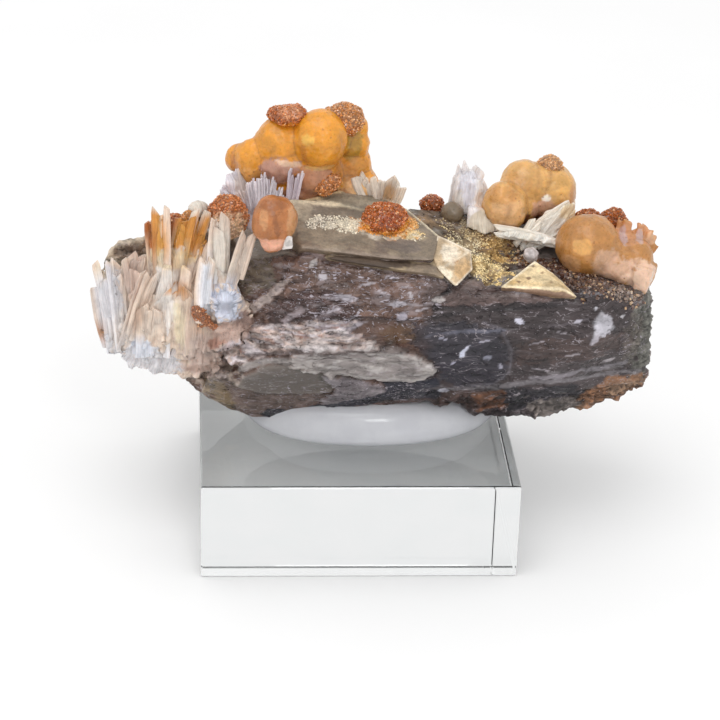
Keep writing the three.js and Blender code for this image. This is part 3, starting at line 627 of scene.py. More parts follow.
def fluorite_rock(finish):
    """The CAD rock under one fine skin, with the raised and torn zones of its show side."""
    rock = refined(remeshed(cad_shape("fluorite_matrix"), ROCK_VOXEL), SHOW_SIDE, 0.25)
    points, normals = points_of(rock), normals_of(rock)
    x, y, z = points.T
    roof = ramp(normals[:, 2], 0.55, 0.85) * ramp(z, 43, 46)
    front = ramp(normals @ np.array(SHOW_SIDE), 0.0, 0.3) * ramp(-y, 2, 5) * (1 - roof)
    under = ramp(-normals[:, 2], 0.1, 0.6) * (1 - front)
    wing = ramp(-x, 22, 26)
    end = ramp(x, 42.6, 44.6)
    foot = ramp(26.5 - z, 0, 2.5) * ramp(x, 9, 13)

    # Relief
    edge = cloud(points, (1.7, 1.4, 0.8), 4, 5.3)
    reaches = [outline_reach(points, zone.outline) + zone.ragged * edge for zone in SHOW_ZONES]
    shares = [ramp(reach, -0.15, 0.3) * front for reach in reaches]
    torn = ramp(outline_reach(points, PINK_BAND) + 0.8 * edge, -0.6, 0.8) * front
    tongue = ramp(outline_reach(points, TONGUE) + 0.5 * edge, -0.2, 0.4) * front
    bed = np.column_stack([x, y, z + 0.07 * x + 0.9 * cloud(points, (9, 5, 4), 2, 7.7)])
    shelf = cloud(bed, (6.5, 3, 1.1), 3, 3.3)
    knots = np.abs(cloud(points, (2.6, 1.6, 1.2), 4, 6.1))
    crumbs = np.abs(cloud(points, 1.15, 3, 6.1))
    fine = 0.1 * cloud(points, (4, 2.5, 1.7), 4, 1.3) * front
    fine += sum(zone.lift * share for zone, share in zip(SHOW_ZONES, shares))
    frayed = np.abs(cloud(bed, (4.2, 1.8, 0.8), 4, 17.3))
    fine += torn * (1 - 0.7 * tongue) * (0.5 * ramp(shelf, -0.08, 0.1) + 0.25 * knots + 0.55 * frayed - 0.4)
    fine += 0.2 * ramp(shelf, -0.05, 0.1) * tongue
    fine += crumbs * (0.2 * under + 0.6 * end + 0.45 * foot + 0.4 * wing)
    fine += 0.9 * cloud(points, (3, 2.2, 1.6), 4, 9.9) * np.maximum(foot, 0.6 * end)
    broad = 0.3 * cloud(points, (13, 6, 5), 3, 2.7) * front
    broad += (0.22 + 0.6 * wing) * cloud(points, 3.2, 4, 4.4) * (1 - front) * (1 - roof * (1 - wing))
    push = fine + broad
    for corners in (ROOF_PLATE, STEP_PLATE, RIDGE_PLATE, BEIGE_TIP, WEDGE_BODY):
        push = np.where(inside(points, corners, PLATE_MARGIN), np.minimum(push, -PLATE_SINK), push)
    move_points(rock, points + normals * push[:, None])

    # Colour
    drift = cloud(points, (8, 5, 3), 3, 3.9)
    tone = np.tile(linear(BACK), (len(points), 1))
    show = linear(SLAB) + (linear(MIDDLE) - linear(SLAB)) * ramp(10.5 - x + 2 * drift, -1.5, 1.5)[:, None]
    tone += (show - tone) * ramp(front, 0, 0.5)[:, None]
    tone += (linear(ROOF) - tone) * roof[:, None]
    # Faces that look down get painted shade
    tone += (linear(UNDERSIDE_SHADE) - tone) * (0.7 * under)[:, None]
    tone *= (1 + 0.18 * drift)[:, None]
    tone = paint(rock, tone, SHOW_STAINS + TOP_STAINS + BACK_STAINS, 0.42, 1.7)
    for zone, reach, share in zip(SHOW_ZONES, reaches, shares):
        tone += (linear(zone.colour) - tone) * (zone.strength * share)[:, None]
        # Raised zones get a lighter frayed rim just inside their edge and painted shadow just outside it
        if zone.lift > 0.25:
            rim = ramp(reach, -0.1, 0.15) * ramp(0.9 - reach, 0, 0.7) * front
            shadow = ramp(-reach, 0.0, 0.2) * ramp(0.9 + reach, 0, 0.7) * front
            tone *= (1 + 0.35 * rim - 0.4 * shadow)[:, None]
    streak = cloud(bed, (5, 2.5, 0.7), 4, 12.1)
    spot = cloud(bed, (2.4, 1.4, 0.8), 3, 14.9)
    hair = cloud(bed, (2.8, 1.6, 0.75), 3, 19.7)
    middle = ramp(13 - x, 0, 3) * ramp(z, 38, 40) * front * (1 - torn)
    for share, colour in (
            (torn * ramp(spot, 0.24, 0.38) * 0.75, (158, 112, 96)),
            (torn * ramp(-streak, 0.2, 0.36) * 0.6, (132, 118, 114)),
            (torn * ramp(-spot, 0.26, 0.4) * 0.7, (228, 196, 182)),
            (torn * ramp(streak, 0.06, 0.28) * 0.8, (222, 213, 218)),
            (torn * ramp(hair, 0.16, 0.3) * 0.6, (232, 222, 220)),
            (torn * ramp(-hair, 0.24, 0.36) * 0.5, (134, 104, 96)),
            (tongue * ramp(-streak, 0.14, 0.3) * 0.5, (130, 121, 120)),
            (tongue * ramp(streak, 0.16, 0.3) * 0.6, (200, 194, 190)),
            (tongue * ramp(hair, 0.22, 0.34) * 0.5, (206, 200, 198)),
            (middle * ramp(hair, 0.26, 0.36) * 0.5, (164, 150, 152)),
            (middle * ramp(-hair, 0.22, 0.34) * 0.5, (78, 62, 60))):
        tone += (linear(colour) - tone) * share[:, None]
    draw_lines(tone, points, SHOW_LINES)
    tone *= (1 - front * (0.38 - 0.12 * tongue))[:, None]
    # Painted shade and light from the relief: raised skin lighter, hollows darker
    tone *= np.clip(1 + 0.5 * fine * (1 - 0.5 * tongue), 0.62, 1.35)[:, None]
    # On the crumbly foot and end, raised crumbs are lighter and the ground between them darker: painted
    # shade, together with the dark specks of the crumbly rock
    tone *= (1 + np.maximum(foot, 0.7 * end) * (1.6 * crumbs - 0.5))[:, None]
    keel = ramp(12 - x, 0, 5) * ramp(31 - z, 0, 3) * front
    flaky = ramp(13.5 - x, 0, 3) * ramp(z, 37, 40) * ramp(48.5 - z, 0, 2) * ramp(x, -14, -9) * front
    flaky = 0.1 * front + np.maximum(flaky, 0.5 * keel) + 0.5 * ramp(x, 40, 43.5)
    paint(rock, tone, SHOW_FLECKS, 0.3, 0.8, np.clip(flaky * (1 - torn), 0, 1))
    store_number(rock, "rough", np.clip(torn + 0.6 * (1 - front) + foot + end, 0, 1))
    calm = 0.4 * (1 - torn) * ramp(z, 26, 28) * front
    for outline in (DOME, LENS):
        calm = np.maximum(calm, 0.9 * ramp(outline_reach(points, outline), -0.3, 0.6) * front)
    store_number(rock, "calm", np.maximum(calm, 0.5 * tongue))
    return finished(rock, "fluorite_rock", ["fluorite_matrix"], finish)


# Soft stains on the rock: centre, half lengths, turn, colour, strength
SHOW_STAINS = [
    ((45.2, -7, 35), (2.1, 9, 10), 0, (136, 135, 126), 0.85),
    ((43.3, -8, 34), (2.0, 5, 4.5), 0, (122, 110, 102), 0.6),
    ((-21, -7, 24), (3, 5, 4), 30, (114, 102, 86), 0.7),
    ((2, -11.5, 47.8), (9, 4, 0.9), -7, (156, 136, 110), 0.85),
    ((-20.5, -11, 39.3), (1.8, 4, 1.0), 0, (196, 156, 136), 0.8),
    ((-25, -6, 29), (7, 9, 6), 0, (200, 180, 166), 0.95),
    ((-21.5, -6, 23.5), (2.6, 7, 4.5), 35, (150, 128, 98), 0.85),
]
# Sharper pale flecks and crystals on the show side
SHOW_FLECKS = [
    ((38, -11.5, 37.7), (1.5, 4, 2.0), -25, (184, 181, 189), 1.0),
    ((36.9, -11.5, 35.7), (0.6, 4, 1.2), -35, (170, 164, 172), 1.0),
    ((24.6, -13.5, 39.1), (0.9, 4, 0.5), -30, (196, 194, 208), 1.0),
    ((16, -12.8, 33.5), (0.45, 4, 0.9), -20, (194, 196, 212), 1.0),
    ((13.5, -10.5, 25.7), (0.9, 4, 0.45), 0, (188, 186, 196), 1.0),
    ((20, -12.8, 32.6), (0.7, 4, 0.5), 0, (132, 132, 146), 1.0),
    ((16.6, -12.8, 34.5), (0.7, 4, 0.22), 50, (190, 190, 206), 1.0),
    ((14.6, -12.8, 31.6), (0.5, 4, 0.2), 20, (158, 156, 172), 1.0),
    ((12.6, -12.8, 36.4), (0.9, 4, 0.16), -16, (160, 158, 174), 1.0),
    ((19.4, -12.8, 35.8), (0.8, 4, 0.14), 14, (150, 148, 164), 1.0),
    ((22.2, -12.8, 30.8), (0.3, 4, 0.6), 0, (146, 144, 158), 1.0),
    ((27.4, -12.8, 35.4), (1.3, 4, 0.14), 12, (150, 142, 148), 1.0),
    ((31.6, -12.4, 37), (1.1, 4, 0.14), -14, (156, 148, 154), 1.0),
    ((33.4, -12, 33), (1.5, 4, 0.16), 10, (150, 142, 146), 1.0),
    ((28.6, -12, 30.2), (1.6, 4, 0.18), -8, (160, 152, 158), 1.0),
    ((39.6, -10.4, 31), (1.3, 4, 0.3), 14, (170, 162, 166), 0.9),
    ((0.6, -12.6, 45), (1.3, 4, 0.2), 16, (182, 174, 180), 0.9),
    ((-4.4, -12.6, 40.8), (1.2, 4, 0.2), 24, (186, 178, 186), 0.9),
    ((3.4, -12.6, 43.8), (1.1, 4, 0.18), -20, (176, 168, 174), 0.9),
    ((9.2, -12.8, 41.2), (1.0, 4, 0.2), 10, (180, 172, 178), 0.9),
    ((36.7, -11.3, 40.8), (0.3, 4, 0.3), 0, (210, 208, 216), 1.0),
    ((41.3, -9.5, 38.8), (0.45, 4, 0.25), 20, (190, 186, 190), 1.0),
    ((34, -12, 38.7), (0.7, 4, 0.2), 10, (170, 166, 176), 1.0),
    ((-2.7, -12.3, 42.8), (2.0, 4, 0.55), -12, (178, 172, 180), 0.9),
    ((5.4, -12.6, 42.2), (1.5, 4, 0.5), 12, (176, 170, 178), 0.9),
    ((7.4, -12.2, 43.6), (0.3, 4, 1.0), 20, (180, 174, 180), 0.9),
    ((-6.3, -11.8, 45.7), (0.8, 4, 0.5), 0, (182, 176, 182), 0.9),
    ((6.3, -12.8, 40.2), (0.9, 4, 0.7), 0, (170, 164, 176), 0.9),
    ((11.8, -12.4, 42.6), (1.0, 4, 0.5), 0, (200, 192, 190), 0.9),
    ((-7.6, -11.6, 47.6), (0.8, 4, 0.5), 30, (176, 168, 166), 0.9),
]
TOP_STAINS = [
    ((18, -3, 46.4), (7.5, 9, 3.6), 0, (92, 74, 56), 0.95),
    ((22, 1, 46.6), (5, 5, 2.4), 0, (138, 106, 66), 0.7),
    ((20, -7, 45.4), (3.6, 3.4, 2.4), 0, (196, 166, 112), 0.8),
    ((22.6, -1.4, 46.2), (2.6, 3, 2.4), 0, (176, 140, 84), 0.7),
    ((17, 0, 47.4), (2, 3.4, 2.4), 0, (150, 130, 98), 0.7),
    ((33.5, -5.5, 44.4), (9, 6, 2.6), 0, (84, 63, 56), 0.95),
    ((41, -8, 42), (5, 3, 1.6), -20, (104, 92, 88), 0.8),
    ((13, 4, 49), (5, 5, 2.2), 0, (96, 76, 58), 0.8),
    ((11, 0, 49.6), (2.5, 4, 1.2), 0, (130, 104, 74), 0.8),
    ((-20, 6, 47), (8, 8, 3), 0, (148, 128, 108), 0.7),
    ((-34, 2, 42), (10, 8, 7), 0, (184, 168, 148), 0.95),
    ((-36.4, 0.5, 44), (2.4, 4, 1.6), 0, (122, 104, 90), 0.9),
    ((-32.6, 0, 45.4), (2.0, 4, 1.2), 0, (146, 124, 104), 0.8),
    ((-38.8, 0, 41.6), (1.4, 4, 1.4), 0, (216, 204, 186), 0.8),
    ((30, 8, 47), (8, 7, 3), 0, (128, 92, 62), 0.8),
    ((-2, 13, 46.5), (12, 5, 3), 0, (136, 108, 80), 0.6),
]
BACK_STAINS = [
    ((8, 17, 38), (16, 5, 2.2), 6, (164, 150, 142), 0.7),
    ((-8, 17, 30), (11, 6, 3), -8, (84, 76, 80), 0.7),
    ((30, 13, 36), (11, 6, 3.4), 5, (70, 66, 74), 0.75),
    ((20, 15, 28), (10, 6, 2), 0, (150, 108, 70), 0.6),
    ((-16, 14, 39), (6, 6, 2.6), 15, (176, 160, 148), 0.6),
    ((42, 8, 30), (5, 6, 5), 0, (116, 110, 106), 0.6),
    ((-26, 9, 33), (5, 5, 3.5), 30, (150, 136, 124), 0.6),
]


# Flat cleavage plates of the roof, each through its corners
ROOF_PLATE = [
    (-9.4, -9.8, 50), (5.8, -10.8, 48.5), (10.9, -10.5, 48.3), (-10.9, 0, 54), (0.2, 0.3, 52.3),
    (7.5, 2, 51.7), (12.3, -5, 49.9), (-13, -4, 50.5), (-10, -7, 46.5), (10, -7, 45.5), (8, 5, 46),
    (-12, 4, 48),
]
STEP_PLATE = [
    (-6, -10.6, 48.7), (5.8, -12.0, 47.3), (10.9, -12.4, 46.8), (12.6, -12.0, 45.8), (12, -8, 48),
    (-3, -6, 48), (-5.4, -9.8, 47.8), (5.6, -10.8, 46.0), (11.8, -11, 45), (12, -5, 46), (-4, -5, 47),
]
RIDGE_PLATE = [
    (-9, 1, 53.3), (0.2, -0.2, 52.6), (0.4, 4.6, 54.6), (5.8, 3, 52.2), (7.5, 5.4, 50.4), (-8, 7, 51),
    (-8, 1, 48), (6, 1, 47), (5, 8, 47), (-7, 8, 47),
]
BEIGE_TIP = [
    (12.1, -5, 50.1), (17.3, -6, 47.9), (17.4, -8, 45.6), (14.5, -12.3, 44.6), (11.9, -11.4, 47),
    (10.9, -9, 48.2), (11, -4, 43), (17, -4, 43),
]
WEDGE_BODY = [
    (27.3, -6, 46.2), (19, -12.4, 44.7), (34, -12.2, 43.1), (31.3, -8, 45.4), (22, -7.5, 45.4),
    (19, -10, 41), (34, -10, 41), (28, -3, 42),
]
BEIGE_WEDGE = [
    (27.4, -6.6, 46.4), (21.6, -12.4, 44.6), (31.4, -12.4, 44.2), (33.6, -12.4, 42.9), (30.6, -8, 44.6),
    (22, -10, 41), (33, -10, 41), (28, -4, 42),
]
# Lines of frost along the edges of the roof's plates, and the cracks across them: path, width, colour and
# strength
PLATE_LINES = [
    ([(-13, -4, 50.5), (-10.9, 0, 54), (0.2, 0.3, 52.3), (7.5, 2, 51.7), (12.3, -5, 49.9)], 0.22,
     (222, 208, 180), 0.9),
    ([(-9, 1, 53.3), (0.4, 4.6, 54.6)], 0.26, (228, 204, 160), 0.85),
    ([(0.4, 4.6, 54.6), (5.8, 3, 52.2), (7.5, 5.4, 50.4)], 0.18, (206, 192, 164), 0.8),
    ([(-9.4, -9.8, 50), (5.8, -10.8, 48.5), (10.9, -10.5, 48.3)], 0.2, (150, 134, 120), 0.6),
    ([(-7, -5.5, 50.8), (2, -7.2, 49.8), (9, -8, 49)], 0.2, (98, 86, 80), 0.6),
    ([(-10.6, -3, 52.2), (-6, -1.6, 52.6), (0, -2.4, 51.8)], 0.14, (178, 160, 132), 0.6),
    ([(-10, -6.6, 51), (-4, -8.2, 50), (4, -9.2, 49.2)], 0.16, (84, 68, 58), 0.6),
    ([(-5, -11, 47.8), (3, -12, 46.8), (11, -12.5, 46)], 0.2, (190, 166, 132), 0.6),
]
# Bright lines along the edges of the beige tip and the beige wedge
EDGE_LINES = [
    ([(21.6, -12.4, 44.6), (27.4, -6.6, 46.4), (30.6, -8, 44.6), (33.6, -12.4, 42.9)], 0.16,
     (250, 238, 212), 0.9),
    ([(21.6, -12.4, 44.6), (31.4, -12.4, 44.2), (33.6, -12.4, 42.9)], 0.16, (244, 226, 190), 0.85),
    ([(10.9, -9, 48.2), (12.1, -5, 50.1), (17.3, -6, 47.9), (17.4, -8, 45.6), (14.5, -12.3, 44.6)], 0.16,
     (248, 238, 220), 0.8),
    ([(14.5, -12.3, 44.6), (11.9, -11.4, 47), (17.3, -6, 47.9)], 0.14, (240, 226, 202), 0.7),
]
PLATE_STAINS = [
    ((-2, -2, 52.4), (8, 6, 1.4), 0, (128, 118, 106), 0.8),
    ((-4, 1.5, 53), (8, 1.6, 1.4), 0, (150, 138, 118), 0.7),
    ((-9.6, -2, 53.2), (2, 4, 1.6), 0, (166, 152, 132), 0.7),
    ((6, -7.5, 49), (5, 2, 1.4), 0, (118, 104, 94), 0.8),
    ((3.8, -2.6, 50.8), (5.2, 3.8, 2.2), 0, (206, 130, 50), 0.9),
    ((-2.4, -4.4, 50.4), (5.4, 1.6, 1.8), 0, (214, 202, 180), 0.85),
    ((6.8, -5.2, 49.6), (3.4, 1.4, 1.8), 0, (222, 198, 150), 0.85),
    ((1.4, -6.4, 49.8), (3.4, 0.9, 1.2), 0, (206, 196, 180), 0.7),
    ((-9, -9.4, 49.2), (3, 2, 1.6), 0, (120, 100, 84), 0.7),
    ((3, -10.4, 48.4), (10, 2, 0.8), -6, (108, 92, 80), 0.8),
    ((9.6, 1, 49.4), (2.4, 4, 2.2), 0, (112, 94, 74), 0.8),
]


# The bevel of a slab's edges, and how many times at most its long edges are cut in half
SLAB_BEVEL, SLAB_CUTS = 0.14, 8


def sharp_slab(corners, name, out=0.12, cell=0.55, wear=0.05):
    """Flat faces through corners, pushed out a little past the rock under them, in cells small enough to
    stain. wear roughens the faces."""
    shape = bmesh.new()
    for corner in corners:
        shape.verts.new(corner)
    bmesh.ops.convex_hull(shape, input=shape.verts)
    bmesh.ops.delete(shape, geom=[v for v in shape.verts if not v.link_faces], context="VERTS")
    middle = sum((v.co for v in shape.verts), Vector()) / len(shape.verts)
    for vert in shape.verts:
        vert.co += (vert.co - middle).normalized() * out
    bmesh.ops.bevel(shape, geom=list(shape.edges), offset=SLAB_BEVEL, segments=1, affect="EDGES", profile=0.5)
    bmesh.ops.triangulate(shape, faces=shape.faces)
    for _ in range(SLAB_CUTS):
        too_long = [edge for edge in shape.edges if edge.calc_length() > cell]
        if not too_long:
            break
        bmesh.ops.subdivide_edges(shape, edges=too_long, cuts=1)
        bmesh.ops.triangulate(shape, faces=shape.faces)
    bmesh.ops.recalc_face_normals(shape, faces=shape.faces)
    piece = piece_from(shape, name)
    points, normals = points_of(piece), normals_of(piece)
    move_points(piece, points + normals * (wear * cloud(points, 1.3, 3, 3.3))[:, None])
    shade_smooth(piece, False)
    return piece


def roof_plates(finish):
    plates = [sharp_slab(corners, name) for corners, name in (
        (ROOF_PLATE, "roof"), (RIDGE_PLATE, "ridge"), (STEP_PLATE, "step"))]
    tones = [
        paint(plates[0], (134, 119, 101), PLATE_STAINS, ragged=0.4),
        paint(plates[1], (136, 122, 104), PLATE_STAINS, ragged=0.4),
        paint(plates[2], (156, 138, 112), [
            ((4, -12.8, 44.4), (10, 4, 2.0), -6, (118, 99, 88), 0.9),
            ((2, -10.6, 47.9), (10, 1.4, 0.7), -6, (74, 60, 52), 0.9),
            ((9.5, -11.6, 46.9), (3, 1.4, 0.8), -6, (132, 116, 100), 0.8),
        ], 0.3),
    ]
    for plate, tone in zip(plates, tones):
        draw_lines(tone, points_of(plate), PLATE_LINES)
        store_tone(plate, tone)
    return finished(joined(plates), "fluorite_roof_plates", ["fluorite_matrix"], finish)


def beige_crystals(finish):
    """The beige tip at the end of the roof and the beige wedge on the front edge of the valley."""
    tip = sharp_slab(BEIGE_TIP, "tip", out=0.1, cell=0.5, wear=0.08)
    tip_tone = paint(tip, (196, 171, 138), [
        ((14, -8, 48), (2.4, 2.6, 1.2), -30, (232, 220, 200), 0.8),
        ((12.6, -11, 46), (1.2, 2, 1.6), 50, (240, 228, 204), 0.8),
        ((15.6, -9, 46), (1.5, 3, 2.2), 0, (206, 168, 120), 0.8),
        ((14.4, -7.6, 47.2), (0.7, 2, 0.5), 0, (168, 112, 66), 0.7),
    ], 0.35, 1.2)
    wedge = sharp_slab(BEIGE_WEDGE, "wedge", out=0.1, cell=0.4, wear=0.06)
    wedge_tone = paint(wedge, (206, 180, 136), [
        ((29, -8.5, 44.9), (5, 3, 1.6), 0, (230, 208, 166), 0.7),
        ((26, -12.6, 43.4), (9, 1.4, 0.9), -4, (136, 106, 90), 0.9),
        ((22, -10, 45), (2.4, 3, 1), 0, (220, 184, 124), 0.8),
        ((26, -10.4, 45), (0.4, 0.4, 0.4), 0, (120, 92, 66), 0.9),
        ((28.4, -9, 45.4), (0.3, 0.4, 0.4), 0, (120, 92, 66), 0.9),
        ((24.4, -11.2, 44.8), (0.3, 0.3, 0.3), 0, (120, 92, 66), 0.9),
        ((29.6, -11, 44.5), (0.4, 0.4, 0.4), 0, (130, 100, 74), 0.9),
        ((27, -7.6, 46), (0.3, 0.4, 0.4), 0, (126, 98, 70), 0.9),
    ], 0.3, 1.0)
    for piece, tone in ((tip, tip_tone), (wedge, wedge_tone)):
        draw_lines(tone, points_of(piece), EDGE_LINES)
        store_tone(piece, tone)
    return finished(joined([tip, wedge]), "beige_crystals", ["fluorite_matrix"], finish)


# Grains: Geometry Nodes strew small crystals over a carrier

def strewing_tree():
    """Carrier in, grains out. Where the carrier's cover number is 0 there are none."""
    tree = bpy.data.node_groups.new("strewn_grains", "GeometryNodeTree")
    sockets = {
        "Carrier": "NodeSocketGeometry", "Grains per square mm": "NodeSocketFloat",
        "Grain width": "NodeSocketFloat", "Grain length": "NodeSocketFloat",
        "Smallest share": "NodeSocketFloat", "Seed": "NodeSocketInt", "Finish": "NodeSocketMaterial",
    }
    for name, kind in sockets.items():
        tree.interface.new_socket(name, in_out="INPUT", socket_type=kind)
    tree.interface.new_socket("Grains", in_out="OUTPUT", socket_type="NodeSocketGeometry")

    def add(kind, settings=None, inputs=None):
        node = tree.nodes.new(kind)
        for key, value in (settings or {}).items():
            setattr(node, key, value)
        for key, value in (inputs or {}).items():
            if isinstance(value, bpy.types.NodeSocket):
                tree.links.new(value, node.inputs[key])
            else:
                node.inputs[key].default_value = value
        return node

    given = add("NodeGroupInput").outputs
    cover = add("GeometryNodeInputNamedAttribute", {"data_type": "FLOAT"}, {"Name": "cover"})
    density = add("ShaderNodeMath", {"operation": "MULTIPLY"}, {
        0: given["Grains per square mm"], 1: cover.outputs["Attribute"]})
    spots = add("GeometryNodeDistributePointsOnFaces", {"distribute_method": "RANDOM"}, {
        "Mesh": given["Carrier"], "Density": density.outputs[0], "Seed": given["Seed"]})
    size = add("ShaderNodeCombineXYZ", {}, {
        "X": given["Grain width"], "Y": given["Grain width"], "Z": given["Grain length"]})
    crystal = add("GeometryNodeMeshCube", {}, {"Size": size.outputs[0]})
    turn = add("FunctionNodeRandomValue", {"data_type": "FLOAT_VECTOR"}, {
        "Min": (0, 0, 0), "Max": (math.tau,) * 3, "Seed": given["Seed"]})
    share = add("FunctionNodeRandomValue", {"data_type": "FLOAT"}, {
        2: given["Smallest share"], 3: 1.0, "Seed": given["Seed"]})
    grains = add("GeometryNodeInstanceOnPoints", {}, {
        "Points": spots.outputs["Points"], "Instance": crystal.outputs["Mesh"],
        "Rotation": turn.outputs["Value"], "Scale": share.outputs[1]})
    depth = add("FunctionNodeRandomValue", {"data_type": "FLOAT"}, {2: 0.0, 3: 1.0, "Seed": 7})
    shaded = add("GeometryNodeStoreNamedAttribute", {"data_type": "FLOAT", "domain": "INSTANCE"}, {
        "Geometry": grains.outputs["Instances"], "Name": "shade", "Value": depth.outputs[1]})
    real = add("GeometryNodeRealizeInstances", {}, {"Geometry": shaded.outputs["Geometry"]})
    coated = add("GeometryNodeSetMaterial", {}, {
        "Geometry": real.outputs["Geometry"], "Material": given["Finish"]})
    add("NodeGroupOutput", {}, {"Grains": coated.outputs["Geometry"]})
    return tree


GRAIN_TREE = strewing_tree()


def grains_on(carrier, finish, per_mm, width, length, smallest, seed):
    """Grains over a carrier that has a tone and a cover number. The carrier keeps its own mesh."""
    grains = placed(carrier.name + "_grains", carrier.data.copy())
    strew = grains.modifiers.new("strewn", "NODES")
    strew.node_group = GRAIN_TREE
    values = {
        "Grains per square mm": per_mm, "Grain width": width, "Grain length": length,
        "Smallest share": smallest, "Seed": seed, "Finish": finish,
    }
    for item in GRAIN_TREE.interface.items_tree:
        if item.in_out == "INPUT" and item.name in values:
            strew[item.identifier] = values[item.name]
    return apply_modifiers(grains)


# Where each crust's grains lie: centre, half lengths, turn, colour and how densely they lie
CRUST_SPOTS = [
    ((-2.6, -4.0, 50.4), (5.6, 2.2, 3), 0, (226, 216, 196), 1.0),
    ((-6.4, -4.6, 50.6), (2.6, 1.7, 3), 0, (214, 204, 188), 0.8),
    ((6.6, -4.8, 49.4), (3.6, 1.6, 3), 0, (228, 202, 152), 1.0),
    ((3.4, -4.8, 49.8), (4.6, 2.0, 3), 0, (222, 150, 66), 1.0),
    ((7.4, -2.4, 50), (2.2, 2.2, 3), 0, (224, 176, 110), 0.8),
]
VALLEY_SPOTS = [
    ((19.6, -6.5, 45.4), (3.4, 3.6, 3), 0, (236, 216, 168), 0.9),
    ((16.8, -1, 46.8), (3, 4, 3), 0, (224, 212, 182), 0.7),
    ((22.6, -1.4, 46.2), (3.2, 3.6, 3), 0, (214, 182, 124), 0.8),
    ((19, 2.4, 47.6), (4, 3, 3), 0, (206, 182, 138), 0.7),
    ((22.4, -9.6, 44.8), (3, 2, 3), 0, (232, 204, 144), 0.9),
    ((15.6, 2.6, 48.6), (3, 2.4, 2), 0, (176, 160, 132), 0.5),
]
DARK_SPOTS = [
    ((32.5, -5.5, 44.6), (7.5, 5.6, 3), 0, (88, 60, 50), 1.0),
    ((37, -9, 43), (5.5, 3, 2.4), 0, (98, 74, 64), 1.0),
    ((42, -9.4, 41.6), (3.6, 2.4, 1.8), -20, (126, 108, 98), 0.7),
    ((26.6, -1.4, 46), (3.4, 3.4, 2.4), 0, (128, 88, 52), 0.8),
]


# How far the grains keep off the beige crystals
BARE_MARGIN = 0.6


def crust(carriers, name, spots, finish, per_mm, width, seed, clump=0.0):
    """Grains on the upward faces of the rock, inside the spots. Clumped grains leave bare ground between
    them."""
    parts = []
    for carrier in carriers:
        keep = placed("carrier", carrier.data.copy())
        keep.data.transform(Matrix.Scale(1 / MM, 4))
        points = points_of(keep)
        edge = 0.35 * cloud(points, 1.6, 3, seed * 1.7)
        cover = np.zeros(len(points))
        for spot in spots:
            cover = np.maximum(cover, patch_mask(points, edge, spot) * spot[4])
        cover *= 1 - clump + clump * ramp(cloud(points, 1.3, 3, seed * 2.3), -0.05, 0.2)
        cover[inside(points, BEIGE_WEDGE, BARE_MARGIN) | inside(points, BEIGE_TIP, BARE_MARGIN)] = 0
        store_number(keep, "cover", cover * ramp(normals_of(keep)[:, 2], 0.1, 0.5))
        paint(keep, spots[0][3], [(*spot[:4], 1.0) for spot in spots], 0.5, 1.0)
        parts.append(grains_on(keep, finish, per_mm, width, width * 1.3, smallest=0.4, seed=seed))
        bpy.data.objects.remove(keep)
    return finished(joined(parts), name, ["fluorite_matrix"], finish)


# Smithsonite balls, each [x, y, z, radius] or [x, y, z, radius along X, Y and Z], and their stains; two of
# these lists also hold a painted highlight
PEAK_BALLS = [
    [-12.6, 5, 61.7, 3.5, 3.6, 3.6], [-6.3, 3.5, 62.8, 3.9, 3.9, 4.4], [-12.2, 4.2, 58.6, 3.3],
    [-19.1, 6, 58.5, 1.8], [-17.1, 4.2, 58.7, 2.1, 2.2, 3.3], [-1.1, 7, 57.6, 2.8], [-0.8, 6, 61.2, 2],
    [-0.9, 6, 64, 1.8], [-7.2, 5, 56.6, 4, 4, 3.2], [-0.4, 6.2, 53.4, 3.7, 3.4, 3.3], [-9.5, 9.5, 60.5, 3.8],
    [-3.5, 10, 58, 3.6], [-14.5, 10.5, 56.5, 3.4], [-7.5, 12.5, 54.5, 3.4], [-10, 6.5, 53.5, 5, 5, 3.8],
]
PEAK_STAINS = [
    ((-12.6, 2, 58.2), (3.6, 3, 2.5), -8, (182, 138, 122), 0.95),
    ((-11.4, 1.5, 59.6), (2.4, 2.4, 0.5), -14, (224, 190, 160), 0.8),
    ((-7.2, 2, 56.6), (4.8, 4, 2.4), 0, (178, 126, 98), 0.9),
    ((-5.6, 0.5, 58.9), (3.4, 3, 0.5), 4, (226, 186, 120), 0.7),
    ((-8.9, 2, 61.4), (0.7, 2.4, 2.2), 12, (188, 120, 40), 0.7),
    ((-8.2, 1.4, 64), (1.4, 2.4, 1.2), 0, (244, 196, 96), 0.7),
    ((-3.4, 1.4, 61.4), (1.2, 3, 2.6), 0, (206, 134, 38), 0.6),
    ((-1.0, 4.4, 61.4), (1.4, 3, 3.4), 0, (176, 134, 48), 0.9),
    ((-0.2, 4.4, 58), (1.8, 3, 1.8), 0, (200, 134, 50), 0.8),
    ((-17.1, 2.4, 57), (2, 2, 1.6), 0, (222, 166, 100), 0.7),
    ((-19.6, 6, 58.5), (1.6, 3, 2), 0, (192, 124, 60), 0.8),
    ((-0.4, 4, 54), (3.6, 3, 2.4), 0, (226, 176, 120), 0.95),
    ((-2.6, 4.6, 57), (2.6, 3, 1.6), 0, (194, 132, 60), 0.7),
    ((-14.2, 1.6, 62.6), (1.0, 2, 1.6), 0, (206, 140, 50), 0.6),
    ((-7, 12, 54), (6, 4, 5), 0, (190, 134, 76), 0.7),
    ((-8, 2.6, 53.4), (6, 4, 2.2), 0, (156, 110, 88), 0.9),
    ((-2.4, 2.6, 53), (2, 3, 1.8), 0, (178, 126, 88), 0.8),
]
FRONT_BUD = [
    [-14.2, -9, 54.2, 2.9, 3, 3.9], [-13.2, -8.7, 54, 2.9, 3, 3.7], [-14, -9.9, 50.9, 1.8, 1.5, 1.5],
]
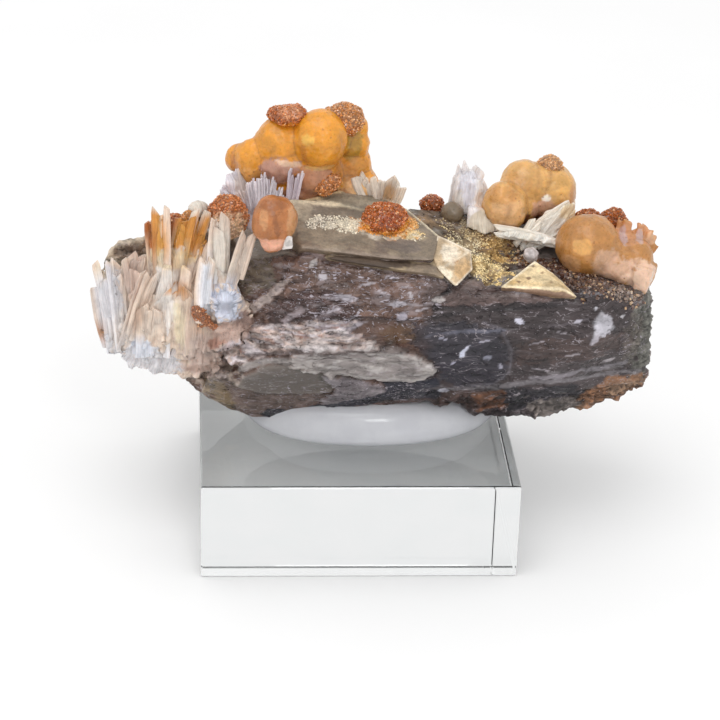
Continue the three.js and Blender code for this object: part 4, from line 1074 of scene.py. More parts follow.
BUD_STAINS_AND_HIGHLIGHT = [
    ((-14, -10.6, 50.9), (2.6, 2, 1.4), 0, (232, 172, 142), 0.95),
    ((-11.2, -10, 54), (0.9, 3, 3), 0, (198, 146, 100), 0.8),
    ((-13.6, -11.5, 54.4), (0.5, 1.6, 2.4), 8, (142, 86, 46), 0.7),
    # a painted highlight stripe down the bud
    ((-15.4, -11.5, 55), (0.8, 1.6, 1.8), 0, (214, 160, 112), 0.6),
    ((-13.8, -10, 57.4), (2.4, 3, 0.8), 0, (156, 94, 48), 0.8),
]
RIGHT_BALLS = [
    [23.1, 4, 51.5, 2.8, 2.8, 3.6], [24.2, 4, 51, 2.6, 2.8, 3.5], [31.4, 9, 51.9, 4, 4, 4.3],
    [26.8, 8, 53.8, 3.3, 3.2, 3.3], [29.2, 8.4, 53.4, 3.2, 3.2, 3.2], [26, 7.5, 50.5, 3.4, 3.4, 3.2],
    [32, 11, 48.5, 3.6],
]
RIGHT_STAINS_AND_HIGHLIGHT = [
    ((23.6, 1.4, 51), (3, 2, 2.6), 0, (222, 174, 122), 0.85),
    ((23.4, 1.6, 48.4), (2.6, 2, 1.4), 0, (228, 186, 140), 0.85),
    ((22.6, 2, 54), (3, 3, 1.3), 0, (206, 148, 82), 0.8),
    ((30, 5.2, 50.2), (2.4, 2, 2.0), 0, (214, 168, 142), 0.85),
    # a painted highlight on the front of the big rear ball
    ((30.2, 4.6, 52.4), (0.9, 2, 0.6), 30, (250, 240, 226), 0.95),
    ((29.2, 6, 47.6), (2, 3, 1.4), 0, (150, 84, 44), 0.8),
    ((32, 6, 54), (3, 3, 1.8), 0, (222, 170, 94), 0.7),
    ((26, 5, 55), (2.6, 3, 1.4), -20, (204, 150, 84), 0.7),
    ((34.6, 7, 51), (0.8, 3, 3), 0, (202, 146, 96), 0.7),
    ((26.9, 6, 49.4), (1.0, 3, 2.2), 0, (112, 52, 28), 0.9),
]
FAR_BALLS = [
    [36.4, -2, 47.2, 4.7, 4.4, 4.6], [36.2, -2.4, 43.6, 2.9, 2.4, 2.4], [40.4, -3, 44.9, 3.4, 3.1, 2.9],
    [42.4, -3.6, 43.4, 3, 2.6, 2.4], [44, -2.6, 45.4, 2.6, 2.4, 2.2], [43, -0.2, 46.4, 2.6, 2.0, 1.8],
]
# The torn crest behind the far right ball, as blades, and the corners of its blocky end
FAR_CREST = [
    [(40.6, -0.4, 44.5), (40.8, 0.4, 49.6), 1.8, 1.3, 0.2],
    [(42, -0.8, 44.5), (42.4, 0.4, 50.6), 2.2, 1.4, -0.2],
    [(43.6, -0.6, 44.5), (43.6, 0.4, 49.4), 2.0, 1.4, 0.3],
    [(44.8, -0.8, 44.5), (45.4, 0.2, 50.2), 2.0, 1.3, -0.3],
    [(45.2, -1, 44), (47, -0.2, 49), 1.8, 1.3, 0.2],
    [(45.2, -1.2, 44), (47.6, -0.8, 47), 1.6, 1.2, 0],
]
FAR_BLOCK = [
    (43, -7, 45.3), (46.3, -6.6, 45), (47.6, -3.4, 44.6), (45.2, -7.4, 40.9), (46.8, -3, 41),
    (43.2, -1, 45.6), (43, -1.5, 41), (43.4, -7, 41.3),
]
FAR_STAINS = [
    ((38.6, -5.6, 45.4), (2.4, 3, 3), 0, (206, 164, 132), 0.85),
    ((41.5, -5, 44.2), (4.4, 3, 2.6), 0, (212, 172, 144), 0.95),
    ((45, -6, 43.4), (3, 3, 2.8), 0, (228, 192, 166), 0.95),
    ((43.6, -1, 48.6), (4.4, 2.6, 2.6), 0, (198, 142, 98), 0.9),
    ((42, -1.6, 48.4), (0.7, 2, 2.2), 0, (190, 166, 166), 0.8),
    ((44.7, -1.6, 48), (0.6, 2, 1.8), 0, (196, 170, 164), 0.8),
    ((46.8, -1, 48), (0.8, 2, 1.2), 0, (222, 178, 140), 0.8),
    ((43, -2, 46.4), (3.4, 2, 0.7), 0, (148, 96, 66), 0.8),
    ((36.2, -4, 42.6), (2.6, 2, 1.4), 0, (206, 160, 120), 0.85),
    ((33.6, -4.6, 45.4), (1.6, 3, 2), 0, (212, 164, 120), 0.6),
    ((35, -5.6, 48.6), (1.8, 2, 1.4), 0, (226, 172, 100), 0.7),
]


def add_ball(shape, ball, grow):
    x, y, z, rx = ball[:4]
    ry, rz = ball[4:6] if len(ball) > 4 else (rx, rx)
    place = Matrix.Translation((x, y, z)) @ Matrix.Diagonal((rx + grow, ry + grow, rz + grow, 1))
    bmesh.ops.create_icosphere(shape, subdivisions=4, radius=1, matrix=place)


def crease(points, balls):
    """1 in the creases where two balls meet, 0 on their open skin."""
    reach = []
    for x, y, z, *radii in balls:
        radii = np.array(radii * 3 if len(radii) == 1 else radii)
        reach.append(np.linalg.norm((points - [x, y, z]) / radii, axis=1))
    nearest = np.sort(np.array(reach), axis=0)
    return 1 - ramp(nearest[1] - nearest[0], 0.0, 0.16)


# The brown of the painted shade in the creases between balls and on their undersides
PAINTED_SHADE_BROWN = (120, 66, 34)


def smithsonite(name, node, balls, colour, stains, finish, crags=(), deep=0.6, soft=6, grow=0.2):
    """Balls melted into each other, with painted shade in their creases and on their undersides. Crags keep
    their edges. deep is how dark the painted crease shade is, soft how often the skin is smoothed, and grow
    how far the balls swell first to make up for that. The stains can hold painted highlights too."""
    shape = bmesh.new()
    for ball in balls:
        add_ball(shape, ball, grow)
    piece = remeshed(piece_from(shape, name), BALL_VOXEL)
    melt = piece.modifiers.new("melt", "SMOOTH")
    melt.factor, melt.iterations = 0.5, soft
    apply_modifiers(piece)
    if crags:
        piece = remeshed(joined([piece, *crags]), BALL_VOXEL)
    points, normals = points_of(piece), normals_of(piece)
    folds = crease(points, balls) if len(balls) > 1 else np.zeros(len(points))
    push = 0.22 * cloud(points, 2.6, 3, 1.9) + 0.045 * cloud(points, 0.8, 3, 6.6)
    move_points(piece, points + normals * push[:, None])
    tone = paint(piece, colour, stains, 0.3, 1.6)
    # Painted shade in the creases where balls meet
    tone += (linear(PAINTED_SHADE_BROWN) - tone) * (deep * folds ** 3)[:, None]
    # Painted shade on the faces that look down
    under = ramp(-normals[:, 2], 0.2, 0.9)
    tone += (linear(PAINTED_SHADE_BROWN) - tone) * (0.3 * under)[:, None]
    store_tone(piece, tone)
    return finished(piece, name, [node], finish)


# Druse: jagged mounds under a coat of tiny crystals. Node, mounds, colour and stains; the roof mound's stains
# also hold a painted glow
DRUSES = [
    ("druse_peak_left", [[-11.4, 4.8, 66.3, 3.3, 2.8, 1.5], [-10.4, 4.6, 66.8, 1.9, 1.8, 1.3]],
     (186, 100, 44), [
        ((-11, 3, 67.4), (2, 3, 1), 0, (206, 136, 92), 0.8),
        ((-11, 3, 65), (4, 3, 0.8), 0, (222, 140, 40), 0.9)]),
    ("druse_peak_right", [[-2.3, 5.6, 65.2, 3.0, 2.9, 2.9], [-4.6, 5.2, 66.4, 1.4, 1.6, 1.2]],
     (204, 136, 80), [
        ((-1.2, 3, 63.8), (1.6, 3, 1.4), 0, (190, 110, 44), 0.8)]),
    ("druse_peak_tuft", [[-5.6, 1.5, 55.6, 1.8, 1.4, 1.5], [-4.3, 1.8, 56.4, 1.3, 1.1, 1.3]],
     (202, 128, 70), []),
    ("druse_roof_mound", [[3.8, -3, 51.7, 3.8, 3.4, 2.8]], (184, 96, 36), [
        # An orange rim round the mound's foot: partly its own colour, partly a painted glow of light through
        # its thin edge
        ((7, -3, 50.6), (2.2, 3, 1.6), 0, (232, 156, 56), 0.9),
        ((0.6, -4, 50.6), (2, 2, 1.4), 0, (232, 168, 84), 0.9),
        ((4, -6, 50.4), (3, 2, 0.8), 0, (228, 150, 60), 0.9),
        ((4.2, -5, 52.6), (1.9, 2, 1.4), 0, (150, 62, 24), 0.6)]),
    ("druse_left_dome", [[-20.8, -1.4, 51.4, 3.3, 3.2, 3.7]], (196, 116, 62), [
        ((-20.8, -3.8, 50.2), (3.2, 2.6, 3.2), 0, (226, 188, 154), 0.95)]),
    ("druse_left_tuft", [
        [-25.4, -10.6, 39.2, 1.1, 0.9, 1.4], [-24.3, -11.1, 38, 1.0, 0.8, 1.1],
        [-23.1, -11.5, 37.3, 0.8, 0.6, 0.6], [-25.1, -10.6, 37, 0.6, 0.6, 0.8]], (172, 108, 70), []),
    ("druse_orange_tuft", [[-31.9, -2.2, 49.4, 1.5, 1.5, 2.2], [-29.2, -1.9, 50, 1.8, 1.6, 2.2],
                           [-26.4, -1.3, 50.4, 2.0, 1.6, 2.3]], (206, 138, 72), [
        ((-29.4, -2, 51.4), (1.2, 3, 1.2), 0, (170, 92, 50), 0.8)]),
    ("druse_right_knob", [[31.1, 9, 56.2, 2.2, 2.0, 1.9]], (214, 158, 108), []),
    ("druse_far_arc", [[37.2, 4, 47.6, 3, 2.2, 3.2], [41, 3.6, 48.6, 2.4, 1.8, 2.6]], (178, 98, 46), []),
    ("druse_back_tuft", [[12.3, 8, 49.8, 2, 1.8, 1.7]], (170, 92, 50), []),
]


def druse(node, mounds, colour, stains, finish, seed):
    """A jagged mound and the crystals strewn over it, as one piece."""
    shape = bmesh.new()
    for ball in mounds:
        add_ball(shape, ball, -0.1)
    mound = remeshed(piece_from(shape, node), DRUSE_VOXEL)
    points, normals = points_of(mound), normals_of(mound)
    push = 0.3 * cloud(points, 1.4, 3, seed) + 0.1 * cloud(points, 0.5, 2, seed + 3.3)
    move_points(mound, points + normals * push[:, None])
    paint(mound, np.array(colour) * 0.8, stains, 0.3, 1.2)
    store_number(mound, "cover", np.ones(len(points)))
    store_number(mound, "shade", 0.35 + 0.3 * cloud(points, 0.6, 2, seed + 1))
    shade_smooth(mound)
    carrier = bpy.data.objects.new("carrier", mound.data.copy())
    paint(carrier, colour, stains, 0.3, 1.2)
    grains = grains_on(
        carrier, finish, per_mm=11, width=0.28, length=0.4, smallest=0.45, seed=int(seed * 10))
    bpy.data.objects.remove(carrier)
    return finished(joined([mound, grains]), node + "_crystals", [node], finish)


# Barite: blades built from bundles of thin laths

def lath(base, tip, width, thick, roll, rng, slant=None):
    """One flat crystal from base to tip: points, faces and grain coordinates."""
    foot, along = Vector(base), Vector(tip) - Vector(base)
    length = along.length
    facing = SHOW_SIDE.copy()
    facing.rotate(Matrix.Rotation(roll, 3, along.normalized()))
    side = along.cross(facing).normalized()
    facing = side.cross(along).normalized()
    slant = rng.uniform(-0.9, 0.9) if slant is None else slant
    outline = ((-0.5, 0), (-0.36, 0.5), (0.36, 0.5), (0.5, 0), (0.36, -0.5), (-0.36, -0.5))
    ident = rng.uniform(0, 90)
    bend = rng.uniform(-0.04, 0.04) * length
    points, grain = [], []
    steps = ((0, 0.8), (0.25, 1), (0.5, 1.03), (0.75, 0.98), (0.95, 0.9), (1.0, 0.68))
    for share, full in steps:
        full *= rng.uniform(0.93, 1.07)
        for across, out in outline:
            lift = slant * across * width * ramp(np.float64(share), 0.5, 1.0)
            centre = foot + along * share + side * (bend * math.sin(share * math.pi))
            points.append(centre + side * (across * width * full) + facing * (out * thick * full)
                          + along.normalized() * float(lift))
            grain.append((across * width + out * 0.3, share * length, ident))
    faces = []
    count = len(outline)
    for ring in range(len(steps) - 1):
        for k in range(count):
            a, b = ring * count + k, ring * count + (k + 1) % count
            faces.append((a, b, b + count, a + count))
    faces.append(tuple(range(count - 1, -1, -1)))
    faces.append(tuple(len(points) - count + k for k in range(count)))
    return points, faces, grain


def bundle(blades, each, rng, spread=0.5, thin=0.6):
    """Laths that make up each blade. A blade is its base, tip, width, thickness and roll."""
    points, faces, grain = [], [], []
    for base, tip, width, thick, roll in blades:
        foot, head = Vector(base), Vector(tip)
        along = (head - foot).normalized()
        side = along.cross(SHOW_SIDE).normalized()
        out = side.cross(along).normalized()
        for turn in range(each):
            across = ((turn + 0.5) / each - 0.5) * width + rng.uniform(-0.12, 0.12)
            deep = rng.uniform(-0.5, 0.5) * thick
            start = rng.uniform(0, 0.45) if turn % 3 else 0
            stop = rng.uniform(0.8, 1.0) if turn % 2 else rng.uniform(0.93, 1.02)
            low = foot.lerp(head, start) + side * across * 0.8 + out * deep
            high = foot.lerp(head, stop) + side * (across * (1 + 0.3 * spread)) + out * deep * 0.6
            made = lath(low, high, rng.uniform(0.35, 0.8) * width * thin + 0.22,
                        rng.uniform(0.4, 0.8), roll + rng.uniform(-0.3, 0.3), rng)
            faces += [tuple(len(points) + k for k in face) for face in made[1]]
            points += made[0]
            grain += made[2]
    return points, faces, grain


def store_grain(piece, rows):
    layer_of(piece, "grain", "FLOAT_VECTOR").data.foreach_set("vector", np.asarray(rows, float).ravel())


def laths_piece(name, made):
    piece = new_piece(name, made[0], made[1])
    store_grain(piece, made[2])
    store_number(piece, "shade", [(row[2] * 7.13) % 1 for row in made[2]])
    shape = bmesh.new()
    shape.from_mesh(piece.data)
    bmesh.ops.recalc_face_normals(shape, faces=shape.faces)
    shape.to_mesh(piece.data)
    shape.free()
    shade_smooth(piece, False)
    return piece


def barite_root(node, voxel, lean=0.0, rough=0.16, extra=None, sunk=0.0):
    """The body of a blade group, from its CAD node, lined along its blades."""
    shape = cad_shape(node)
    if extra:
        shape = joined([shape, extra])
    root = remeshed(shape, voxel)
    points, normals = points_of(root), normals_of(root)
    x, y, z = points.T
    across = x - lean * (z - z.mean())
    lined = np.column_stack([across, y, z])
    push = rough * cloud(lined, (0.7, 0.9, 7), 3, 2.2) + 0.1 * cloud(points, 1.2, 3, 4.1) - sunk
    move_points(root, points + normals * push[:, None])
    store_grain(root, np.column_stack([across + 0.5 * y, z, np.zeros(len(z))]))
    store_number(root, "shade", np.full(len(z), 0.45))
    return root


# The blades of the fan at the left end: base, tip, width, thickness and roll
FAN_BLADES = [
    [(-38.4, -5.2, 29.6), (-40.4, -3, 44.2), 3.6, 1.6, -0.4],
    [(-39.4, -3.4, 30), (-41.2, -2, 40.2), 2.4, 1.8, -0.8],
    [(-36.8, -6.4, 30.6), (-38.2, -3.8, 44.9), 3.0, 1.2, 0.4],
    [(-35.8, -6, 32), (-35, -2.6, 45.6), 3.4, 1.4, -0.3],
    [(-37, -7.4, 31), (-33, -6.6, 44), 2.6, 1.1, 0.5],
    [(-34.4, -7.2, 30.2), (-33, -3.6, 45), 3.2, 1.3, -0.2],
    [(-31.9, -8.2, 30), (-32.6, -3.5, 52.3), 2.3, 1.4, 0.3],
    [(-31, -8.8, 30.4), (-31.2, -4.5, 53.9), 2.2, 1.3, -0.4],
    [(-30.4, -8.7, 32), (-27.4, -4.6, 52.6), 3.2, 1.5, 0.35],
    [(-29.8, -8, 33), (-24.9, -2.6, 53), 2.4, 1.8, -0.3],
    [(-30, -8.5, 31), (-23.6, -4.5, 49.8), 3.4, 1.5, 0.5],
    [(-28.2, -9.3, 30.5), (-21.9, -6.3, 50), 3.2, 1.6, -0.25],
    [(-22.6, -10.6, 38), (-22.2, -6, 54), 2.4, 1.4, 0.2],
    [(-24.8, -11.1, 37.6), (-24, -9, 47.8), 1.9, 1.2, -0.3],
    [(-20.8, -11.2, 40), (-17.6, -8, 51.8), 1.8, 1.3, 0.2],
    [(-26.6, -9.8, 30.6), (-25.8, -8.8, 43), 3.2, 1.5, 0.1],
    [(-33.5, -7.6, 30), (-33, -8, 39), 3.0, 1.2, -0.1],
]
# Laths that make up a blade, loose laths laid over the front of the fan, and shards of its pale lump
LATHS_EACH, COVER_LATHS, LUMP_SHARDS = 3, 46, 16
PALE_KNOB = [-25.4, -0.6, 52.2, 2.1, 1.6, 2.0]
FAN_STAINS = [
    ((-39.6, -4, 37), (2.8, 4, 9), 0, (224, 221, 226), 0.9),
    ((-36.6, -5, 33), (2.6, 4, 5), -14, (230, 218, 210), 0.8),
    ((-41, -3, 32.4), (1.2, 3, 2.6), 0, (182, 124, 74), 0.9),
    ((-40.6, -2, 43), (1.8, 3, 1.6), 0, (222, 200, 166), 0.7),
    ((-35.4, -4, 42.4), (2.2, 4, 4), 0, (220, 192, 178), 0.8),
    ((-35, -6.4, 36.5), (0.8, 3, 4), -12, (184, 150, 128), 0.8),
    ((-33.4, -7, 29.2), (6, 7, 3.4), 0, (228, 226, 230), 0.9),
    ((-34.4, -7.6, 31.4), (2.4, 3, 1.6), 20, (236, 238, 248), 0.9),
    ((-30.2, -6.5, 41), (2, 4, 6), 5, (246, 236, 228), 0.8),
    ((-26.4, -8, 39), (2.4, 4, 5), 20, (226, 196, 172), 0.7),
    ((-28.4, -9.6, 36), (1.0, 3, 4), 8, (244, 228, 192), 0.6),
    ((-25.8, -9.8, 35), (1.4, 3, 2.4), 10, (214, 178, 156), 0.7),
    ((-23.6, -10, 31), (4.6, 7, 5), 0, (208, 184, 172), 0.95),
    ((-19, -11, 33.6), (3.4, 5, 3.4), 0, (190, 172, 172), 0.9),
    ((-18.4, -11, 37.8), (2.6, 5, 2.6), 0, (124, 98, 88), 0.95),
    ((-18.6, -11, 35.2), (2.4, 5, 0.7), 12, (222, 210, 214), 0.9),
    ((-20.4, -11, 32.4), (2.4, 5, 0.5), 20, (226, 212, 212), 0.9),
    ((-22.4, -11, 34.6), (2.2, 4, 0.9), 30, (170, 118, 98), 0.8),
    ((-19.6, -11, 30.6), (3.0, 4, 0.8), 14, (160, 138, 130), 0.8),
    ((-24.4, -10, 29.2), (3.0, 4, 0.9), 20, (178, 150, 136), 0.8),
    ((-31.6, -4, 50.4), (2.4, 4, 3.8), 0, (226, 152, 56), 0.95),
    ((-33.2, -3.4, 49.6), (0.9, 4, 3.0), 0, (172, 98, 48), 0.9),
    ((-27, -3.6, 50), (4.2, 4, 3.6), 15, (222, 150, 56), 0.95),
    ((-29.2, -3, 51.4), (0.9, 3, 2.4), 0, (160, 90, 46), 0.85),
    ((-30, -6, 46.4), (4.4, 4, 1.6), 0, (240, 206, 150), 0.5),
    ((-28.6, -9.5, 42.3), (1.6, 3, 0.9), 0, (206, 138, 66), 0.85),
    ((-23.4, -6, 47.6), (0.8, 3, 3.6), -20, (160, 106, 56), 0.7),
    ((-21.8, -8, 48.6), (1.8, 4, 4.6), 0, (238, 228, 216), 0.8),
    ((-24.4, -10, 42), (1.3, 3, 5), 0, (246, 246, 252), 0.95),
    ((-21, -11.4, 41.4), (2.6, 2.6, 3.4), 0, (220, 224, 240), 0.95),
    ((-20.6, -10.6, 36.4), (3.8, 3, 2.0), 0, (206, 176, 162), 0.9),
    ((-25.4, -0.8, 53), (2.4, 3, 2), 0, (230, 222, 210), 0.9),
]


def blade_fan(finish):
    """The fan's root, torn at its foot and its right end, under its blades, loose laths and pale lump."""
    rng = np.random.default_rng(4)
    knob = bmesh.new()
    add_ball(knob, PALE_KNOB, 0)
    root = barite_root("barite_blade_fan", BLADE_VOXEL, rough=0.2, extra=piece_from(knob, "knob"), sunk=0.35)
    points, normals = points_of(root), normals_of(root)
    x, y, z = points.T
    torn = ramp(x, -25, -22) * ramp(42 - z, 0, 2)
    loose = np.maximum(ramp(38 - z, 0, 6), torn)
    chunks = 1.1 * np.abs(cloud(points, 2.2, 3, 5.9)) + 0.5 * np.abs(cloud(points, 0.9, 3, 2.9))
    move_points(root, points + normals * (loose * (chunks - 0.15 + 0.3 * torn))[:, None])
    store_grain(root, np.column_stack([x + 0.5 * y, z * (1 + 11 * torn), np.zeros(len(z))]))
    laths = laths_piece("laths", bundle(FAN_BLADES, LATHS_EACH, rng, spread=0.3, thin=1.0))
    crest = []
    for turn in range(COVER_LATHS):
        share = (turn + 0.5) / COVER_LATHS
        x = -38.8 + 15.8 * share + rng.uniform(-0.5, 0.5)
        low = rng.uniform(28.5, 38)
        y = -4.4 - 5.2 * share - 1.2 * math.sin(share * math.pi)
        rise = rng.uniform(4, 9)
        lean = (share - 0.3) * 0.6 + rng.uniform(-0.15, 0.15)
        crest.append([(x, y + 1.0, low), (x + lean * rise, y - 0.7 + 0.2 * rise, low + rise),
                      rng.uniform(1.8, 3.8), rng.uniform(0.5, 0.9), rng.uniform(-0.35, 0.35)])
    cover = laths_piece("cover", bundle(crest, 1, rng, spread=0.5, thin=1.0))
    lump = []
    for _ in range(LUMP_SHARDS):
        turned = rng.uniform(0, math.tau)
        out = rng.uniform(0.3, 1.3)
        foot = Vector((-21.2 + 0.9 * math.cos(turned), -11.4, 41.2 + 1.7 * math.sin(turned)))
        along = Vector((1.4 * math.cos(turned), -0.5 - 0.4 * out, 1.2 * math.sin(turned) + out))
        lump.append([foot, foot + along, rng.uniform(0.8, 1.5), 0.6, rng.uniform(-0.8, 0.8)])
    shards = laths_piece("shards", bundle(lump, 1, rng, spread=0.5, thin=1.0))
    fan = joined([root, laths, cover, shards])
    paint(fan, (230, 207, 189), FAN_STAINS, ragged=0.35, lump=1.5)
    return finished(fan, "barite_blade_fan_laths", ["barite_blade_fan"], finish)


# The smaller blade groups: blades and stains
RIGHT_BLADES = [
    [(15.4, 6.8, 47.4), (17.8, 7.8, 56.2), 3.4, 1.6, 0.1],
    [(16.6, 6.4, 47), (18.6, 7.4, 56.4), 2.8, 1.6, -0.1],
    [(18.2, 6.2, 47), (19.8, 7, 54.6), 2.2, 1.4, 0.3],
    [(20, 5.4, 46.8), (20.6, 6, 53), 1.2, 1.0, -0.2],
    [(20.8, 5.2, 46.8), (21.6, 5.8, 52), 1.0, 0.8, 0.3],
]
RIGHT_BLADE_STAINS = [
    ((17.6, 6, 53.6), (1.6, 4, 3), -10, (240, 236, 246), 0.8),
    ((16.2, 6, 50), (1, 4, 3), 0, (238, 224, 210), 0.7),
    ((19.6, 5, 51), (0.8, 3, 3), 0, (228, 200, 176), 0.7),
    ((20, 2, 49.4), (3, 2, 2.2), 0, (222, 208, 186), 0.85),
]
RIGHT_PLATES = [
    [(25.4, 0.8, 45.4), (34.6, 3, 51.7), 2.6, 1.1, 0.2],
    [(27.2, 0.8, 45.6), (31.4, 2.6, 50.4), 2.4, 1, -0.4],
    [(28.6, 0.6, 45.4), (35.2, 2.6, 49.4), 2.2, 1, 0.5],
    [(25.6, 0.4, 46), (28.4, 1.6, 49.6), 2.0, 1, 0.3],
    [(32.4, 0, 46.3), (21.6, 0.2, 48.6), 1.4, 1.6, 0.1],
]
RIGHT_PLATE_STAINS = [
    ((29, 1, 47), (3, 3, 1.4), 30, (255, 250, 242), 0.7),
    ((25, 0.4, 47.8), (3, 2, 1), 0, (244, 238, 226), 0.8),
    ((34, 3, 51), (2, 3, 1.4), 0, (222, 190, 144), 0.8),
    ((28, -0.6, 46.4), (1.6, 2, 0.6), 0, (198, 164, 122), 0.7),
]
ROOF_SHARDS = [
    [(2.6, 3, 50.5), (-0.4, 3.4, 57), 1.6, 0.8, 0.2],
    [(3, 3.2, 50.5), (1.4, 3.2, 56.6), 1.8, 0.9, -0.2],
    [(3.6, 3.2, 50.5), (3.4, 3.2, 55.8), 1.8, 0.9, 0.3],
    [(4.4, 3.2, 50.5), (5.6, 3.2, 56.4), 1.5, 0.9, 0.1],
    [(5, 3.3, 50.5), (6.6, 3.2, 55), 1.3, 0.8, -0.3],
]
ROOF_SHARD_STAINS = [((4.8, 2.6, 53.8), (0.9, 2, 1.8), 0, (206, 152, 92), 0.8)]


def lath_group(node, blades, seed, colour, stains, finish, root, spread, thin, lump=1.2):
    """Blades over their lined root, as one piece. root says how the root is made."""
    laths = laths_piece("laths", bundle(blades, LATHS_EACH, np.random.default_rng(seed), spread, thin))
    group = joined([barite_root(node, **root), laths])
    paint(group, colour, stains, 0.3, lump)
    return finished(group, node + "_laths", [node], finish)


# The comb of fine needles: each base and tip
COMB_FRONT = [
    [(-17.6, 0.3, 51.5), (-19, 0, 55.4)], [(-17.2, 0.3, 51.5), (-18, 0.2, 56.8)],
    [(-16.7, 0.3, 51.5), (-17, 0.4, 57.4)], [(-16.2, 0, 51.5), (-16.6, 0.2, 57.0)],
    [(-15.8, 0.2, 51.5), (-15.9, 0.4, 57.6)], [(-15.4, 0.3, 51.5), (-15.4, 0.7, 58.4)],
    [(-14.8, 0.2, 51.5), (-14.6, 0.5, 57.6)], [(-14.3, 0, 51.5), (-13.8, 0.3, 57.8)],
    [(-13.8, 0.4, 51.5), (-13.0, 0.6, 56.6)], [(-13.2, 0.2, 51.5), (-12.3, 0.4, 56.2)],
    [(-12.6, 0.4, 51.5), (-11.8, 0.6, 54.6)], [(-11.3, 0.4, 51.5), (-10.8, 0.6, 59.2)],
    [(-10.9, 0.3, 51.5), (-10.2, 0.4, 58.4)], [(-10.6, 0.5, 51.5), (-9.4, 0.6, 58.9)],
]
# The flare of needles behind the comb's left end: its foot, and where its lowest and highest tips are
FLARE_FOOT, FLARE_LOW, FLARE_HIGH = (-17.6, 1.6, 50.8), (-22, 3.6, 53.6), (-18.9, 3.4, 58.6)
COMB_NEEDLES_EACH, FLARE_NEEDLES = 5, 26


def comb(finish):
    """The comb's front needles and its flare, over their lined root."""
    rng = np.random.default_rng(21)
    points, faces, grain = [], [], []

    def add(made):
        faces.extend(tuple(len(points) + k for k in face) for face in made[1])
        points.extend(made[0])
        grain.extend(made[2])

    for base, tip in COMB_FRONT:
        for turn in range(COMB_NEEDLES_EACH):
            shift = Vector((rng.uniform(-0.42, 0.42), rng.uniform(-0.4, 0.3), rng.uniform(-0.3, 0)))
            lean = Vector((rng.uniform(-0.3, 0.3), rng.uniform(-0.3, 0.2), -turn * rng.uniform(0.1, 0.9)))
            add(lath(Vector(base) + shift, Vector(tip) + shift * 0.7 + lean, rng.uniform(0.3, 0.46),
                     rng.uniform(0.28, 0.4), rng.uniform(-0.6, 0.6), rng, 0))
    for turn in range(FLARE_NEEDLES):
        share = turn / (FLARE_NEEDLES - 1)
        tip = Vector(FLARE_LOW).lerp(Vector(FLARE_HIGH), share)
        tip += Vector((rng.uniform(-0.2, 0.2), rng.uniform(-0.5, 0.5), rng.uniform(-0.5, 0.3)))
        foot = Vector(FLARE_FOOT) + Vector((0.6 * share, rng.uniform(-0.5, 0.5), 0.5 * share))
        add(lath(foot, tip, rng.uniform(0.4, 0.6), 0.4, rng.uniform(-0.4, 0.4), rng, 0))
    needles = laths_piece("needles", (points, faces, grain))
    piece = joined([barite_root("needle_comb", voxel=0.24, rough=0.2), needles])
    paint(piece, (240, 230, 236), [
        ((-18.6, 2, 55.6), (1.2, 3, 3), 0, (228, 206, 192), 0.7),
        ((-12, 0, 52), (3, 2, 1.6), 0, (176, 148, 150), 0.8),
        ((-16.4, 0, 51.4), (3, 2, 1.2), 0, (216, 200, 204), 0.7),
        ((-10.4, 0, 55.6), (1.6, 2, 3), 0, (218, 198, 208), 0.7),
    ], 0.3, 1.0)
    return finished(piece, "needle_comb_needles", ["needle_comb"], finish)


SMALL_CUBE_AT, SMALL_CUBE_EDGE = (27, -4.6, 46.6), 2.3
WHITE_CHIP = [
    (-12.6, -11.3, 50.2), (-10.9, -11.2, 50.3), (-11, -11, 52.3), (-12, -11.2, 52.6), (-12.4, -10.2, 50.4),
    (-11.2, -10.2, 51.8),
]


def small_crystal(finish):
    """A small clear knob with blunt faces, set in the valley."""
    shape = bmesh.new()
    bmesh.ops.create_icosphere(shape, subdivisions=1, radius=SMALL_CUBE_EDGE * 0.62)
    bmesh.ops.rotate(shape, verts=shape.verts, matrix=Matrix.Rotation(0.5, 3, "X"))
    bmesh.ops.translate(shape, verts=shape.verts, vec=SMALL_CUBE_AT)
    bmesh.ops.bevel(shape, geom=list(shape.edges), offset=0.16, segments=2, affect="EDGES", profile=0.5)
    knob = piece_from(shape, "knob")
    return finished(knob, "small_clear_crystal", ["fluorite_small_cube"], finish)


def white_chip(finish):
    chip = sharp_slab(WHITE_CHIP, "chip", out=0.05, cell=0.4, wear=0.08)
    return finished(chip, "white_chip_crystal", ["white_chip"], finish)


# The stand

def acrylic_block(finish):
    shape = bmesh.new()
    bmesh.ops.create_cube(shape, size=1)
    bmesh.ops.scale(shape, vec=(BLOCK_WIDTH, BLOCK_DEPTH, BLOCK_HEIGHT), verts=shape.verts)
    bmesh.ops.translate(shape, verts=shape.verts, vec=(0, 0, BLOCK_HEIGHT / 2))
    bmesh.ops.bevel(shape, geom=list(shape.edges), offset=BLOCK_EDGE, segments=2, affect="EDGES", profile=0.5)
    return finished(piece_from(shape, "block"), "polished_block", ["acrylic_block"], finish)


